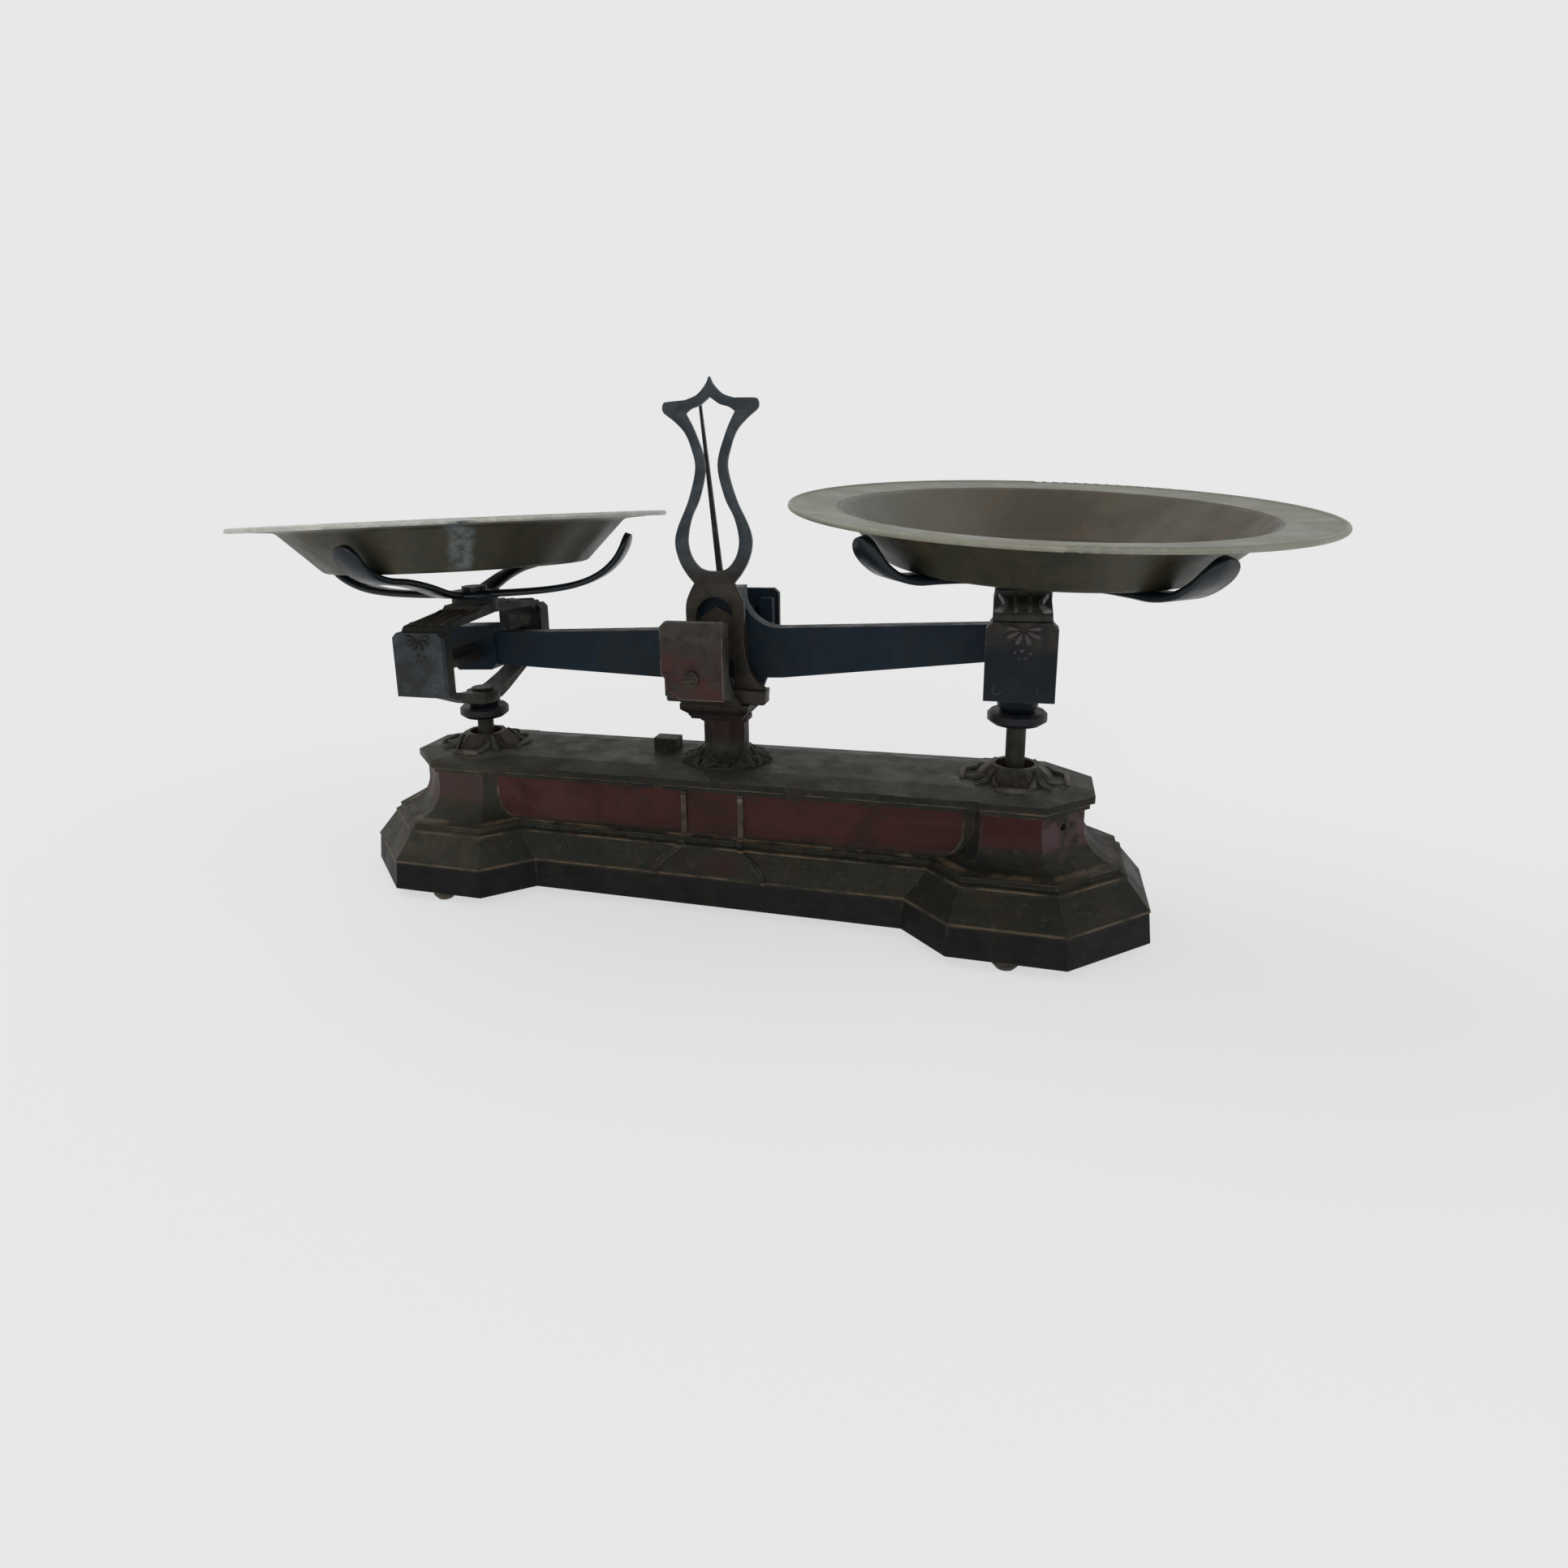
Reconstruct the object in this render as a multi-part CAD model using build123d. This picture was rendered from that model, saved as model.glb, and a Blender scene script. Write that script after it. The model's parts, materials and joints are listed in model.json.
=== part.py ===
"""Counter balance with two brass pans on a parallel linkage, millimetres, +Z up, +X to the right.

The origin is on the surface that the feet stand on, under the middle of the column.
The beam is built level round its own pivot and then tilted to the position in which it is stored.
"""
import os
from math import cos, radians, sin, sqrt, tan

from build123d import *

# Overall layout
knife_spacing = 125.0        # from the fulcrum to each end knife
column_rise = 55.8           # fulcrum knife edge above the crown of the base
link_height = 24.0           # centre pin of the lower link above the ground
rest_tilt = 2.2              # left side down, on its buffer
running_gap = 0.08           # round pins that turn in a hole
edge_gap = 0.05              # between a knife edge and its bearing
fit_gap = 0.02               # between fixed pieces that are let into each other
seat_gap = 0.2               # between a moving piece and the stop under it

# Base casting
foot_height = 4.3
plinth_top = 16.8
slope_top = 28.5
step_top = 31.0
flare_bottom = 33.0
flare_top = 47.0
waist_top = 54.0
slab_thickness = 6.3
slab_crown = 1.9
end_apothem = 54.0           # octagonal ends, at the ground
end_slope_inset = 9.6
end_step_inset = 12.0
end_waist_apothem = 27.5
end_slab_apothem = 31.0
middle_half_depth = 35.0
middle_slope_inset = 4.7
middle_step_inset = 6.8
panel_half_depth = 24.5
middle_slab_half_depth = 30.0
panel_cove = 3.7
wall = 5.0
plinth_draft = 1.2
line_height = 1.0            # raised line above the plinth
bead_height = 1.3            # steps of the mouldings
boss_apothem = 18.0
boss_top_apothem = 9.6
boss_height = 6.0
boss_recess_radius = 7.8
boss_recess_depth = 4.5
rib_offset = 13.0
rib_spread = 12.0
rib_width = 2.4
rib_relief = 1.3
lug_size = (11.5, 8.0, 6.0)
lug_place = (-31.5, 8.0)
side_hole_radius = 1.5       # small hole in the right end
side_hole_height = 48.7

# Underside
plate_thickness = 1.5
plate_gap = 0.3
plate_screw_radius = 2.0
plate_screw_length = 7.0     # above the plate
plate_screw_head = 1.6
plate_screw_reach = 42.5     # outer screws, outside the end knives
plate_screw_inset = 65.0     # inner screws, inside the end knives
plate_screw_depth = 24.5
screw_pillar_radius = 5.0
screw_pillar_height = 12.0
foot_radius = 5.8
foot_toe_radius = 3.6
foot_spigot_radius = 2.0
foot_spigot_length = 5.0
foot_pad_radius = 7.0
foot_inset = 6.2

# Column with its fork
column_foot_radius = 20.0
column_flare_height = 9.0
shaft_apothem = 9.4
capital_height = 7.5
capital_drop = 26.5          # top of the capital under the fulcrum
capital_half_width = 15.5
capital_half_depth = 19.0
capital_step = 4.0
fork_half_width = 12.7
fork_outer = 44.0
fork_arm = 7.0
fork_arm_drop = 16.0
fork_rise = 12.5
fork_web_height = 1.1        # above the capital
column_stud_radius = 3.0
column_nut_width = 10.0
column_nut_height = 5.0

# Cheek plates of the column
cheek_thickness = 3.0
cheek_half_width = 13.2
cheek_drop = 17.8            # under the fulcrum
cheek_rise = 14.2            # above the fulcrum
cheek_screw_radius = 3.1
cheek_screw_clearance = 2.2  # centre of the screw under the bearing
cheek_screw_head = 2.0

# Knives and their bearings
knife_half_width = 3.5
knife_depth = 7.6
bearing_half_width = 6.5
bearing_height = 6.5
bearing_slope = 30.0
window_drop = 4.5            # free height under or over a knife in its window

# Beam
beam_thickness = 8.0
beam_top = 4.4               # above the pivot line
beam_middle_drop = 17.5
beam_end_drop = 11.0
beam_taper_end = 112.0
hub_half_width = 10.0
hub_top = 22.5
hub_arc = 16.5
hub_thickness = 12.0
head_half_length = 12.2
head_half_height = 10.6
head_centre_drop = 2.6
head_thickness = 12.0
head_chamfer = 3.2
clamp_half_width = 12.6
clamp_peak = 14.8
clamp_eaves = 7.4
clamp_drop = 8.0
clamp_thickness = 3.4

# Pointer
pointer_lean = 3.4           # bent to the left of square to the beam
pointer_length = 77.6
pointer_root = 21.0
pointer_root_width = 2.7
pointer_tip_width = 0.9
pointer_thickness = 1.6
pointer_boss_radius = 4.2
pointer_boss_height = 3.0
pointer_tang_radius = 1.5

# Lyre frame in front of the pointer; heights and points (x, z) are from the fulcrum
lyre_plane = -11.0
lyre_thickness = 3.2
lyre_crest = [(0, 109.2), (1.7, 105.9), (5.4, 102.3), (10.4, 100.4)]
lyre_shoulder = (20.1, 99.9)
lyre_side = [(20.1, 95.4), (10.5, 87.0), (6.75, 73.0), (10.4, 58.9), (16.9, 42.5), (13.2, 31.2), (8.6, 25.8)]
lyre_hip = [(11.0, 21.4), (12.9, 15.4)]
lyre_leg = [(12.9, 2.0), (14.3, -8.3), (17.4, -15.4)]
lyre_window_crest = [(0, 101.4), (4.3, 98.3), (8.2, 97.0), (10.9, 95.0)]
lyre_window_side = [(10.9, 95.0), (6.6, 87.4), (3.6, 74.0), (5.7, 61.6), (12.2, 42.5), (7.5, 32.8), (0, 30.9)]
lyre_foot_half_width = 22.5
lyre_foot_height = 6.5
lyre_foot_depth = 9.0
lyre_foot_chamfer = 2.4
lyre_screw_place = (4.8, -12.5)
lyre_screw_radius = 2.6
lyre_leg_inner = 8.2
lyre_arch_top = 19.5

# Carriers, measured from their knife edge
carrier_reach = 48.0         # outer face of the posts, front and rear
post_thickness = 5.5
post_half_width = 12.25
post_bottom = -16.5
post_top = 12.2
carrier_cheek_shoulder = 2.2
bridge_half_width = 10.25
bridge_thickness = 4.4
bridge_crown = 18.6
bridge_slope_top = (13.0, 17.0)
bridge_eaves = (3.0, 14.2)   # in from the outer face of the post
bridge_haunch = (6.0, 12.0)  # in from the inner face of the post
bridge_haunch_foot = 7.6
bridge_bend = 3.0
hub_seat_height = 21.6
hub_seat_radius = 11.0
yoke_half_width = 5.25
yoke_thickness = 4.8
yoke_bottom = -29.6
yoke_corner_line = [(1.0, -17.6), (5.5, -18.4), (12.2, -20.2)]    # in from the outer face of the post
yoke_sag_line = [(16.0, -27.6), (9.0, -29.6)]
yoke_under_corner = (12.0, -17.0)                                 # in from the outer face of the post
yoke_under_sag_line = [(24.5, -20.6), (12.0, -23.4)]
yoke_bend = 9.0
yoke_tenon_half = 3.0
yoke_tenon_height = 3.2
yoke_tenon_inset = 1.5       # in from the outer face of the post
yoke_tenon_thickness = 3.0
collar_radius = 11.8
collar_top = -31.8
collar_thickness = 5.7
collar_neck_radius = 8.0
stem_radius = 3.9
stem_bore_gap = 1.3
eye_radius = 6.0
eye_thickness = 4.8
eye_shank = 9.0
rivet_radius = 1.6
rivet_place = (7.6, -12.2)
rivet_depth = 4.0

# Lower link
link_bar_thickness = 5.0
link_middle_height = 12.0
link_middle_length = 40.0
link_end_height = 9.0
link_fork_thickness = 11.0
link_fork_length = 16.0
link_slot_gap = 0.35
link_pin_radius = 2.0
centre_pin_radius = 2.5
bracket_inner = 6.0
bracket_ear = 2.5
bracket_half_length = 11.0
bracket_ear_drop = 6.5
buffer_radius = 7.0

# Spiders and pans
arm_width = 14.0
arm_thickness = 2.0
arm_tip_round = 5.0
arm_bend_round = 9.0
arm_turn_left = -6.5
arm_turn_right = 45.5
arm_shift = 4.0              # the four arms are bent outwards under the pan
spider_hub_radius = 12.5
spider_hub_thickness = 2.6
spider_seat_clearance = 6.0
spider_screw_radius = 3.2
spider_screw_head_radius = 6.0
spider_screw_head_height = 2.4
pan_radius = 100.0
pan_wall_radius = 80.0
pan_bottom_radius = 61.0
pan_wall_height = 19.0
pan_rim_rise = 2.4
pan_sheet = 1.2
pan_rim_bead = 1.1
pan_corner = 4.0
pan_clearance = 0.15
pan_offset = 6.8             # the pans stand this much outside their knives
pan_rise_left = 14.7         # underside of the pan above the seat of the spider
pan_rise_right = 7.1
# Upper side of an arm from the hub to its tip, as distance outwards and height
arm_line_left = [(0.0, 2.4), (16.0, 2.9), (50.0, 7.2), (71.0, 11.8), (81.0, 20.5), (84.4, 33.4)]
arm_line_right = [(0.0, 2.4), (14.0, 2.7), (44.0, 6.95), (63.0, 6.95), (76.0, 10.4), (83.5, 19.0), (84.6, 23.0)]
# Lean of each pan and spider: turn about +X, then turn about +Y, in degrees
pan_lean_left = (-2.3, -1.5)
pan_lean_right = (4.0, 3.3)

# Values worked out from the ones above
slab_top = waist_top + slab_thickness
crown_top = slab_top + slab_crown
boss_top = crown_top + boss_height
pivot_height = crown_top + column_rise
capital_top = pivot_height - capital_drop
capital_bottom = capital_top - capital_height
fork_top = pivot_height + fork_rise
fork_arm_bottom = pivot_height - fork_arm_drop
fork_web_top = capital_top + fork_web_height
cheek_bottom = pivot_height - cheek_drop
cheek_top = pivot_height + cheek_rise
cheek_screw_height = pivot_height - bearing_height - cheek_screw_clearance
linkage_height = pivot_height - link_height
end_drop = knife_spacing * sin(radians(rest_tilt))
end_offset = knife_spacing * cos(radians(rest_tilt))
left_knife = (-end_offset, 0, pivot_height - end_drop)
right_knife = (end_offset, 0, pivot_height + end_drop)
ceiling = slab_top - wall + 0.7
plate_screw_middle = knife_spacing - plate_screw_inset
plate_screw_end = knife_spacing + plate_screw_reach
plate_screw_places = [(sx * plate_screw_middle, sy * plate_screw_depth) for sx in (1, -1) for sy in (1, -1)]
plate_screw_places += [(plate_screw_end, 0.0), (-plate_screw_end, 0.0)]
buffer_top = link_height - end_drop - eye_radius - seat_gap
pan_depth = pan_wall_height + pan_rim_rise


def yz_points(points):
    """Points given as (y, z), in the plane x = 0."""
    return [Vector(0, y, z) for y, z in points]


def xz_points(points):
    """Points given as (x, z), in the plane y = 0."""
    return [Vector(x, 0, z) for x, z in points]


def polygon_prism_x(points, half_width):
    """A closed (y, z) outline, made into a prism along X about the plane x = 0."""
    face = Face(Wire.make_polygon(yz_points(points), close=True))
    return extrude(face, amount=half_width, dir=(1, 0, 0), both=True)


def polygon_prism_y(points, half_depth):
    """A closed (x, z) outline, made into a prism along Y about the plane y = 0."""
    face = Face(Wire.make_polygon(xz_points(points), close=True))
    return extrude(face, amount=half_depth, dir=(0, 1, 0), both=True)


def box_between(low, high):
    """A box from its lowest to its highest corner."""
    size = [b - a for a, b in zip(low, high)]
    centre = [(a + b) / 2 for a, b in zip(low, high)]
    return Pos(*centre) * Box(*size)


def rod_y(radius, y_low, y_high, x, z):
    """A round bar along Y."""
    length = y_high - y_low
    return Pos(x, (y_low + y_high) / 2, z) * Rot(X=90) * Cylinder(radius, length)


def rod_z(radius, z_low, z_high, x=0.0, y=0.0):
    """A round bar along Z."""
    return Pos(x, y, (z_low + z_high) / 2) * Cylinder(radius, z_high - z_low)


def profile_face(half_edges, bottom, top):
    """A face that is symmetric about the Z axis, from the edges of its right half in the XZ plane."""
    mirrored = [edge.mirror(Plane.YZ) for edge in half_edges]
    bottom_edge = Edge.make_line((-bottom[0], 0, bottom[1]), (bottom[0], 0, bottom[1]))
    edges = [bottom_edge] + list(half_edges)
    if top[0] > 0:
        edges.append(Edge.make_line((top[0], 0, top[1]), (-top[0], 0, top[1])))
    return Face(Wire(edges + mirrored[::-1]))


def mitred_octagon(half_edges, bottom, top, reach):
    """An octagonal body whose eight sides all have the given moulding, with mitred corners."""
    slab = extrude(profile_face(half_edges, bottom, top), amount=reach, dir=(0, 1, 0), both=True)
    body = slab
    for quarter in (45, 90, 135):
        body = body & (Rot(Z=quarter) * slab)
    return body


def line_chain(points):
    """Straight edges through (x, z) points."""
    vectors = xz_points(points)
    return [Edge.make_line(a, b) for a, b in zip(vectors[:-1], vectors[1:])]


def cove(start, end):
    """A hollow quarter arc from a lower outer point to an upper inner point, upright at its top."""
    width = start[0] - end[0]
    height = end[1] - start[1]
    radius = (width * width + height * height) / (2 * width)
    centre = (end[0] + radius, end[1])
    chord_x = (start[0] + end[0]) / 2 - centre[0]
    chord_z = (start[1] + end[1]) / 2 - centre[1]
    scale = radius / sqrt(chord_x * chord_x + chord_z * chord_z)
    middle = (centre[0] + chord_x * scale, centre[1] + chord_z * scale)
    points = xz_points([start, middle, end])
    return Edge.make_three_point_arc(*points)


def base_moulding(foot, slope_inset, step_inset, waist, slab, cove_top):
    """The outside of the base from the ground to the crown of the slab, as edges in the XZ plane."""
    slope = foot - slope_inset
    step = foot - step_inset
    plinth = foot - plinth_draft
    lower = line_chain([
        (foot, foot_height),
        (plinth, plinth_top),
        (plinth + line_height / 2, plinth_top + line_height / 2),
        (plinth, plinth_top + line_height),
        (slope, slope_top),
        (slope, slope_top + bead_height),
        (step, step_top),
        (step, flare_bottom),
    ])
    curve = cove((step, flare_bottom), (waist, cove_top))
    lip = (slab - waist) / 2
    upper = line_chain([
        (waist, cove_top),
        (waist, waist_top),
        (waist + lip, waist_top + bead_height / 2),
        (waist + lip, waist_top + 2 * bead_height),
        (slab, waist_top + 2.5 * bead_height),
        (slab, slab_top),
        (slab * 0.6, crown_top),
    ])
    return lower + [curve] + upper


def inner_moulding(foot, slope_inset, waist):
    """The inside of the hollow base, as edges in the XZ plane."""
    return line_chain([
        (foot - wall, foot_height - 1),
        (foot - plinth_draft - wall, plinth_top),
        (foot - slope_inset - wall, slope_top),
        ((foot - slope_inset + waist) / 2 - wall, slope_top + bead_height),
        (waist - wall, (flare_bottom + flare_top) / 2 - 2.5),
        (waist - wall, ceiling),
    ])


def end_block():
    """One octagonal end with its slab, solid."""
    edges = base_moulding(end_apothem, end_slope_inset, end_step_inset,
                          end_waist_apothem, end_slab_apothem, flare_top)
    top = (end_slab_apothem * 0.6, crown_top)
    return mitred_octagon(edges, (end_apothem, foot_height), top, 2 * end_apothem)


def end_hollow():
    """The space inside one octagonal end."""
    edges = inner_moulding(end_apothem, end_slope_inset, end_waist_apothem)
    bottom = (end_apothem - wall, foot_height - 1)
    return mitred_octagon(edges, bottom, (end_waist_apothem - wall, ceiling), 2 * end_apothem)


def middle_block(swell=0.0):
    """The long middle between the ends, solid; swell makes it stand out for the ribs."""
    edges = base_moulding(middle_half_depth + swell, middle_slope_inset, middle_step_inset,
                          panel_half_depth + swell, middle_slab_half_depth + swell,
                          flare_bottom + panel_cove)
    face = profile_face(edges, (middle_half_depth + swell, foot_height),
                        ((middle_slab_half_depth + swell) * 0.6, crown_top))
    return Rot(Z=90) * extrude(face, amount=knife_spacing, dir=(0, 1, 0), both=True)


def middle_hollow():
    """The space inside the middle."""
    edges = inner_moulding(middle_half_depth, middle_slope_inset, panel_half_depth)
    face = profile_face(edges, (middle_half_depth - wall, foot_height - 1), (panel_half_depth - wall, ceiling))
    return Rot(Z=90) * extrude(face, amount=knife_spacing, dir=(0, 1, 0), both=True)


def rib_band(side):
    """One rib of the centre panel: upright above, swept outwards below."""
    inner = rib_offset - rib_width / 2
    outer = rib_offset + rib_width / 2
    bend_top = flare_bottom + 1
    foot_level = plinth_top
    top = waist_top - 0.5
    knee = (slope_top + foot_level) / 2
    right = [
        Edge.make_line((outer, 0, top), (outer, 0, bend_top)),
        Edge.make_spline([Vector(outer, 0, bend_top), Vector(outer + rib_spread * 0.55, 0, knee + 3),
                          Vector(outer + rib_spread, 0, foot_level)],
                         tangents=[Vector(0, 0, -1), Vector(0.15, 0, -1)]),
        Edge.make_line((outer + rib_spread, 0, foot_level), (inner + rib_spread, 0, foot_level)),
        Edge.make_spline([Vector(inner + rib_spread, 0, foot_level), Vector(inner + rib_spread * 0.45, 0, knee + 3),
                          Vector(inner, 0, bend_top)],
                         tangents=[Vector(-0.15, 0, 1), Vector(0, 0, 1)]),
        Edge.make_line((inner, 0, bend_top), (inner, 0, top)),
        Edge.make_line((inner, 0, top), (outer, 0, top)),
    ]
    band = extrude(Face(Wire(right)), amount=middle_half_depth + 5, dir=(0, 1, 0), both=True)
    return band if side > 0 else band.mirror(Plane.YZ)


def stem_boss(x):
    """The raised octagonal boss that the stem comes out of."""
    low = crown_top - slab_crown
    edges = line_chain([(boss_apothem, low), (boss_top_apothem, boss_top)])
    boss = mitred_octagon(edges, (boss_apothem, low), (boss_top_apothem, boss_top), 2 * boss_apothem)
    return Pos(x, 0, 0) * boss


def foot_places():
    """Centres of the four feet."""
    inset = end_apothem - foot_inset
    return [(sx * knife_spacing, sy * inset) for sx in (-1, 1) for sy in (-1, 1)]


def make_base_casting():
    """The cast-iron base: a hollow shell with pillars, pads, bosses, ribs and the lug."""
    shell = middle_block() + Pos(-knife_spacing, 0, 0) * end_block() + Pos(knife_spacing, 0, 0) * end_block()
    ribs = middle_block(rib_relief) & (rib_band(1) + rib_band(-1))
    shell = shell + ribs
    for sx in (-1, 1):
        shell = shell + stem_boss(sx * knife_spacing)
    hollow = middle_hollow() + Pos(-knife_spacing, 0, 0) * end_hollow() + Pos(knife_spacing, 0, 0) * end_hollow()
    pillars = None
    for x, y in plate_screw_places:
        low = foot_height + plate_thickness
        pillar = rod_z(screw_pillar_radius, low, low + screw_pillar_height, x, y)
        pillars = pillar if pillars is None else pillars + pillar
    for x, y in foot_places():
        pad = rod_z(foot_pad_radius, foot_height, foot_height + foot_spigot_length + 2, x, y)
        pillars = pillars + pad
    outline = middle_block() + Pos(-knife_spacing, 0, 0) * end_block() + Pos(knife_spacing, 0, 0) * end_block()
    shell = (shell - hollow) + (pillars & outline)
    for sx in (-1, 1):
        shell = shell - rod_z(stem_radius + stem_bore_gap, ceiling - 2, boss_top + 1, sx * knife_spacing)
        shell = shell - rod_z(boss_recess_radius, boss_top - boss_recess_depth, boss_top + 1, sx * knife_spacing)
    for x, y in foot_places():
        shell = shell - rod_z(foot_spigot_radius + fit_gap, 0, foot_height + foot_spigot_length + fit_gap, x, y)
    for x, y in plate_screw_places:
        depth = plate_thickness + plate_screw_length + 1
        shell = shell - rod_z(plate_screw_radius + fit_gap, 0, foot_height + depth, x, y)
    shell = shell - rod_z(column_stud_radius + fit_gap, ceiling - 2, crown_top + 2)
    lug_low = crown_top - slab_crown
    lug = Pos(lug_place[0], lug_place[1], lug_low + (slab_crown + lug_size[2]) / 2)
    lug = lug * Box(lug_size[0], lug_size[1], slab_crown + lug_size[2])
    side_hole = Rot(Z=-45) * Pos(end_waist_apothem, 0, side_hole_height) * Rot(Y=90)
    side_hole = side_hole * Cylinder(side_hole_radius, 3 * wall)
    return shell + lug - Pos(knife_spacing, 0, 0) * side_hole


def make_bottom_plate():
    """Sheet-iron plate let into the underside, notched round the foot pads."""
    apothem = end_apothem - wall - plate_gap
    depth = middle_half_depth - wall - plate_gap
    corner = apothem / cos(radians(22.5))
    octagon = extrude(RegularPolygon(corner, 8, rotation=22.5), amount=plate_thickness)
    plate = Box(2 * knife_spacing, 2 * depth, plate_thickness, align=(Align.CENTER, Align.CENTER, Align.MIN))
    for sx in (-1, 1):
        plate = plate + Pos(sx * knife_spacing, 0, 0) * octagon
    plate = Pos(0, 0, foot_height) * plate
    top = foot_height + 2 * plate_thickness
    for x, y in foot_places():
        plate = plate - rod_z(foot_pad_radius + plate_gap, 0, top, x, y)
    for x, y in plate_screw_places:
        plate = plate - rod_z(plate_screw_radius + fit_gap, 0, top, x, y)
    return plate


def make_bottom_plate_screws():
    """Six cheese-head screws that hold the bottom plate."""
    screws = []
    head_radius = 2 * plate_screw_radius
    slot_half = 0.2 * plate_screw_radius
    low = foot_height - plate_screw_head
    for x, y in plate_screw_places:
        shank = rod_z(plate_screw_radius, low + fit_gap, foot_height + plate_thickness + plate_screw_length, x, y)
        head = rod_z(head_radius, low, foot_height - fit_gap, x, y)
        slot = box_between((x - head_radius, y - slot_half, low - fit_gap),
                           (x + head_radius, y + slot_half, low + plate_screw_head / 3))
        screws.append((shank + head) - slot)
    return Compound(children=screws)


def make_base_feet():
    """Four small turned feet with spigots."""
    outline = [
        (0, 0), (foot_toe_radius, 0), (foot_radius * 0.9, foot_height * 0.45), (foot_radius, foot_height - fit_gap),
        (foot_spigot_radius, foot_height - fit_gap), (foot_spigot_radius, foot_height + foot_spigot_length),
        (0, foot_height + foot_spigot_length),
    ]
    foot = revolve(Face(Wire.make_polygon(xz_points(outline), close=True)), Axis.Z)
    return Compound(children=[Pos(x, y, 0) * foot for x, y in foot_places()])


def make_stem_buffers():
    """Two pads on the bottom plate that the stems come down on."""
    low = foot_height + plate_thickness
    pads = [rod_z(buffer_radius, low, buffer_top, sx * knife_spacing) for sx in (-1, 1)]
    return Compound(children=pads)


def make_link_bracket():
    """U-shaped bracket under the slab that carries the lower link."""
    outer = bracket_inner + bracket_ear
    top = ceiling - fit_gap
    low = link_height - bracket_ear_drop
    half = bracket_half_length
    roof = box_between((-half, -outer, top - bracket_ear), (half, outer, top))
    bracket = roof
    for sy in (-1, 1):
        near, far = sorted((sy * bracket_inner, sy * outer))
        ear = polygon_prism_y([(-half, top), (half, top), (bracket_ear_drop, low), (-bracket_ear_drop, low)], bracket_ear / 2)
        bracket = bracket + Pos(0, (near + far) / 2, 0) * ear
    bracket = bracket - rod_z(column_stud_radius + fit_gap, top - 5, top + 1)
    return bracket - rod_y(centre_pin_radius + fit_gap, -outer - 1, outer + 1, 0, link_height)


def make_link_centre_pin():
    """Pin of the lower link, riveted over outside the bracket."""
    outer = bracket_inner + bracket_ear
    pin = rod_y(centre_pin_radius, -outer - 1.2, outer + 1.2, 0, link_height)
    for sy in (-1, 1):
        near, far = sorted((sy * (outer + fit_gap), sy * (outer + 1.2)))
        pin = pin + rod_y(centre_pin_radius + 1.2, near, far, 0, link_height)
    return pin


def make_column():
    """Column casting: flared foot, octagonal shaft, capital and the fork for the fulcrum."""
    foot_low = crown_top + fit_gap
    flare = Edge.make_three_point_arc(
        Vector(column_foot_radius, 0, foot_low + 1.2),
        Vector(shaft_apothem + 3.4, 0, foot_low + 3.6),
        Vector(shaft_apothem, 0, foot_low + column_flare_height))
    outline = [
        Edge.make_line((0, 0, foot_low), (column_foot_radius, 0, foot_low)),
        Edge.make_line((column_foot_radius, 0, foot_low), (column_foot_radius, 0, foot_low + 1.2)),
        flare,
        Edge.make_line((shaft_apothem, 0, foot_low + column_flare_height), (0, 0, foot_low + column_flare_height)),
        Edge.make_line((0, 0, foot_low + column_flare_height), (0, 0, foot_low)),
    ]
    column = revolve(Face(Wire(outline)), Axis.Z)
    corner = shaft_apothem / cos(radians(22.5))
    shaft = extrude(RegularPolygon(corner, 8, rotation=22.5), amount=capital_bottom - foot_low)
    column = column + Pos(0, 0, foot_low) * shaft
    ring = RegularPolygon(corner + 1.6, 8, rotation=22.5)
    column = column + Pos(0, 0, capital_bottom - 3.2) * extrude(ring, amount=2.0)
    neck = capital_half_width - capital_step
    capital_xz = [(neck, capital_bottom), (neck + 0.8, capital_bottom + 2.2),
                  (capital_half_width - 0.8, capital_bottom + 4.2), (capital_half_width, capital_bottom + 5.0),
                  (capital_half_width, capital_top)]
    capital_yz = [(y - capital_half_width + capital_half_depth, z) for y, z in capital_xz]
    outline_x = capital_xz + [(-x, z) for x, z in reversed(capital_xz)]
    outline_y = capital_yz + [(-y, z) for y, z in reversed(capital_yz)]
    capital = polygon_prism_y(outline_x, capital_half_depth) & polygon_prism_x(outline_y, capital_half_width)
    column = column + capital + make_fork()
    for sx in (-1, 1):
        column = column - rod_z(lyre_screw_radius * 0.6 + fit_gap, capital_top - 5.1, fork_web_top + 1,
                                sx * lyre_screw_place[0], lyre_screw_place[1])
    return column - rod_z(column_stud_radius + fit_gap, foot_low - 1, foot_low + 16)


def make_fork():
    """The U-shaped fork, with a seat for a bearing in each arm."""
    inner = fork_outer - fork_arm
    rise = fork_arm_bottom - capital_top
    half = [
        (capital_half_depth - capital_step, capital_bottom + 1.2),
        (capital_half_depth, capital_top - 0.6),
        (fork_outer - 9, fork_arm_bottom - 4),
        (fork_outer, fork_arm_bottom - 1),
        (fork_outer, fork_top),
        (inner, fork_top),
        (inner, fork_arm_bottom + 6),
        (inner - 3, fork_arm_bottom + 1.5),
        (inner - 9, capital_top + rise * 0.6),
        (capital_half_depth - 1, fork_web_top),
    ]
    outline = half + [(-y, z) for y, z in reversed(half)]
    fork = polygon_prism_x(outline, fork_half_width)
    seat_low = pivot_height - bearing_height
    seat_half = bearing_half_width + fit_gap
    slot = box_between((-seat_half, -fork_outer - 1, seat_low), (seat_half, fork_outer + 1, fork_top + 1))
    screw_hole = rod_y(cheek_screw_radius * 0.6 + fit_gap, -fork_outer - 1, fork_outer + 1, 0, cheek_screw_height)
    return fork - slot - screw_hole


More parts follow.
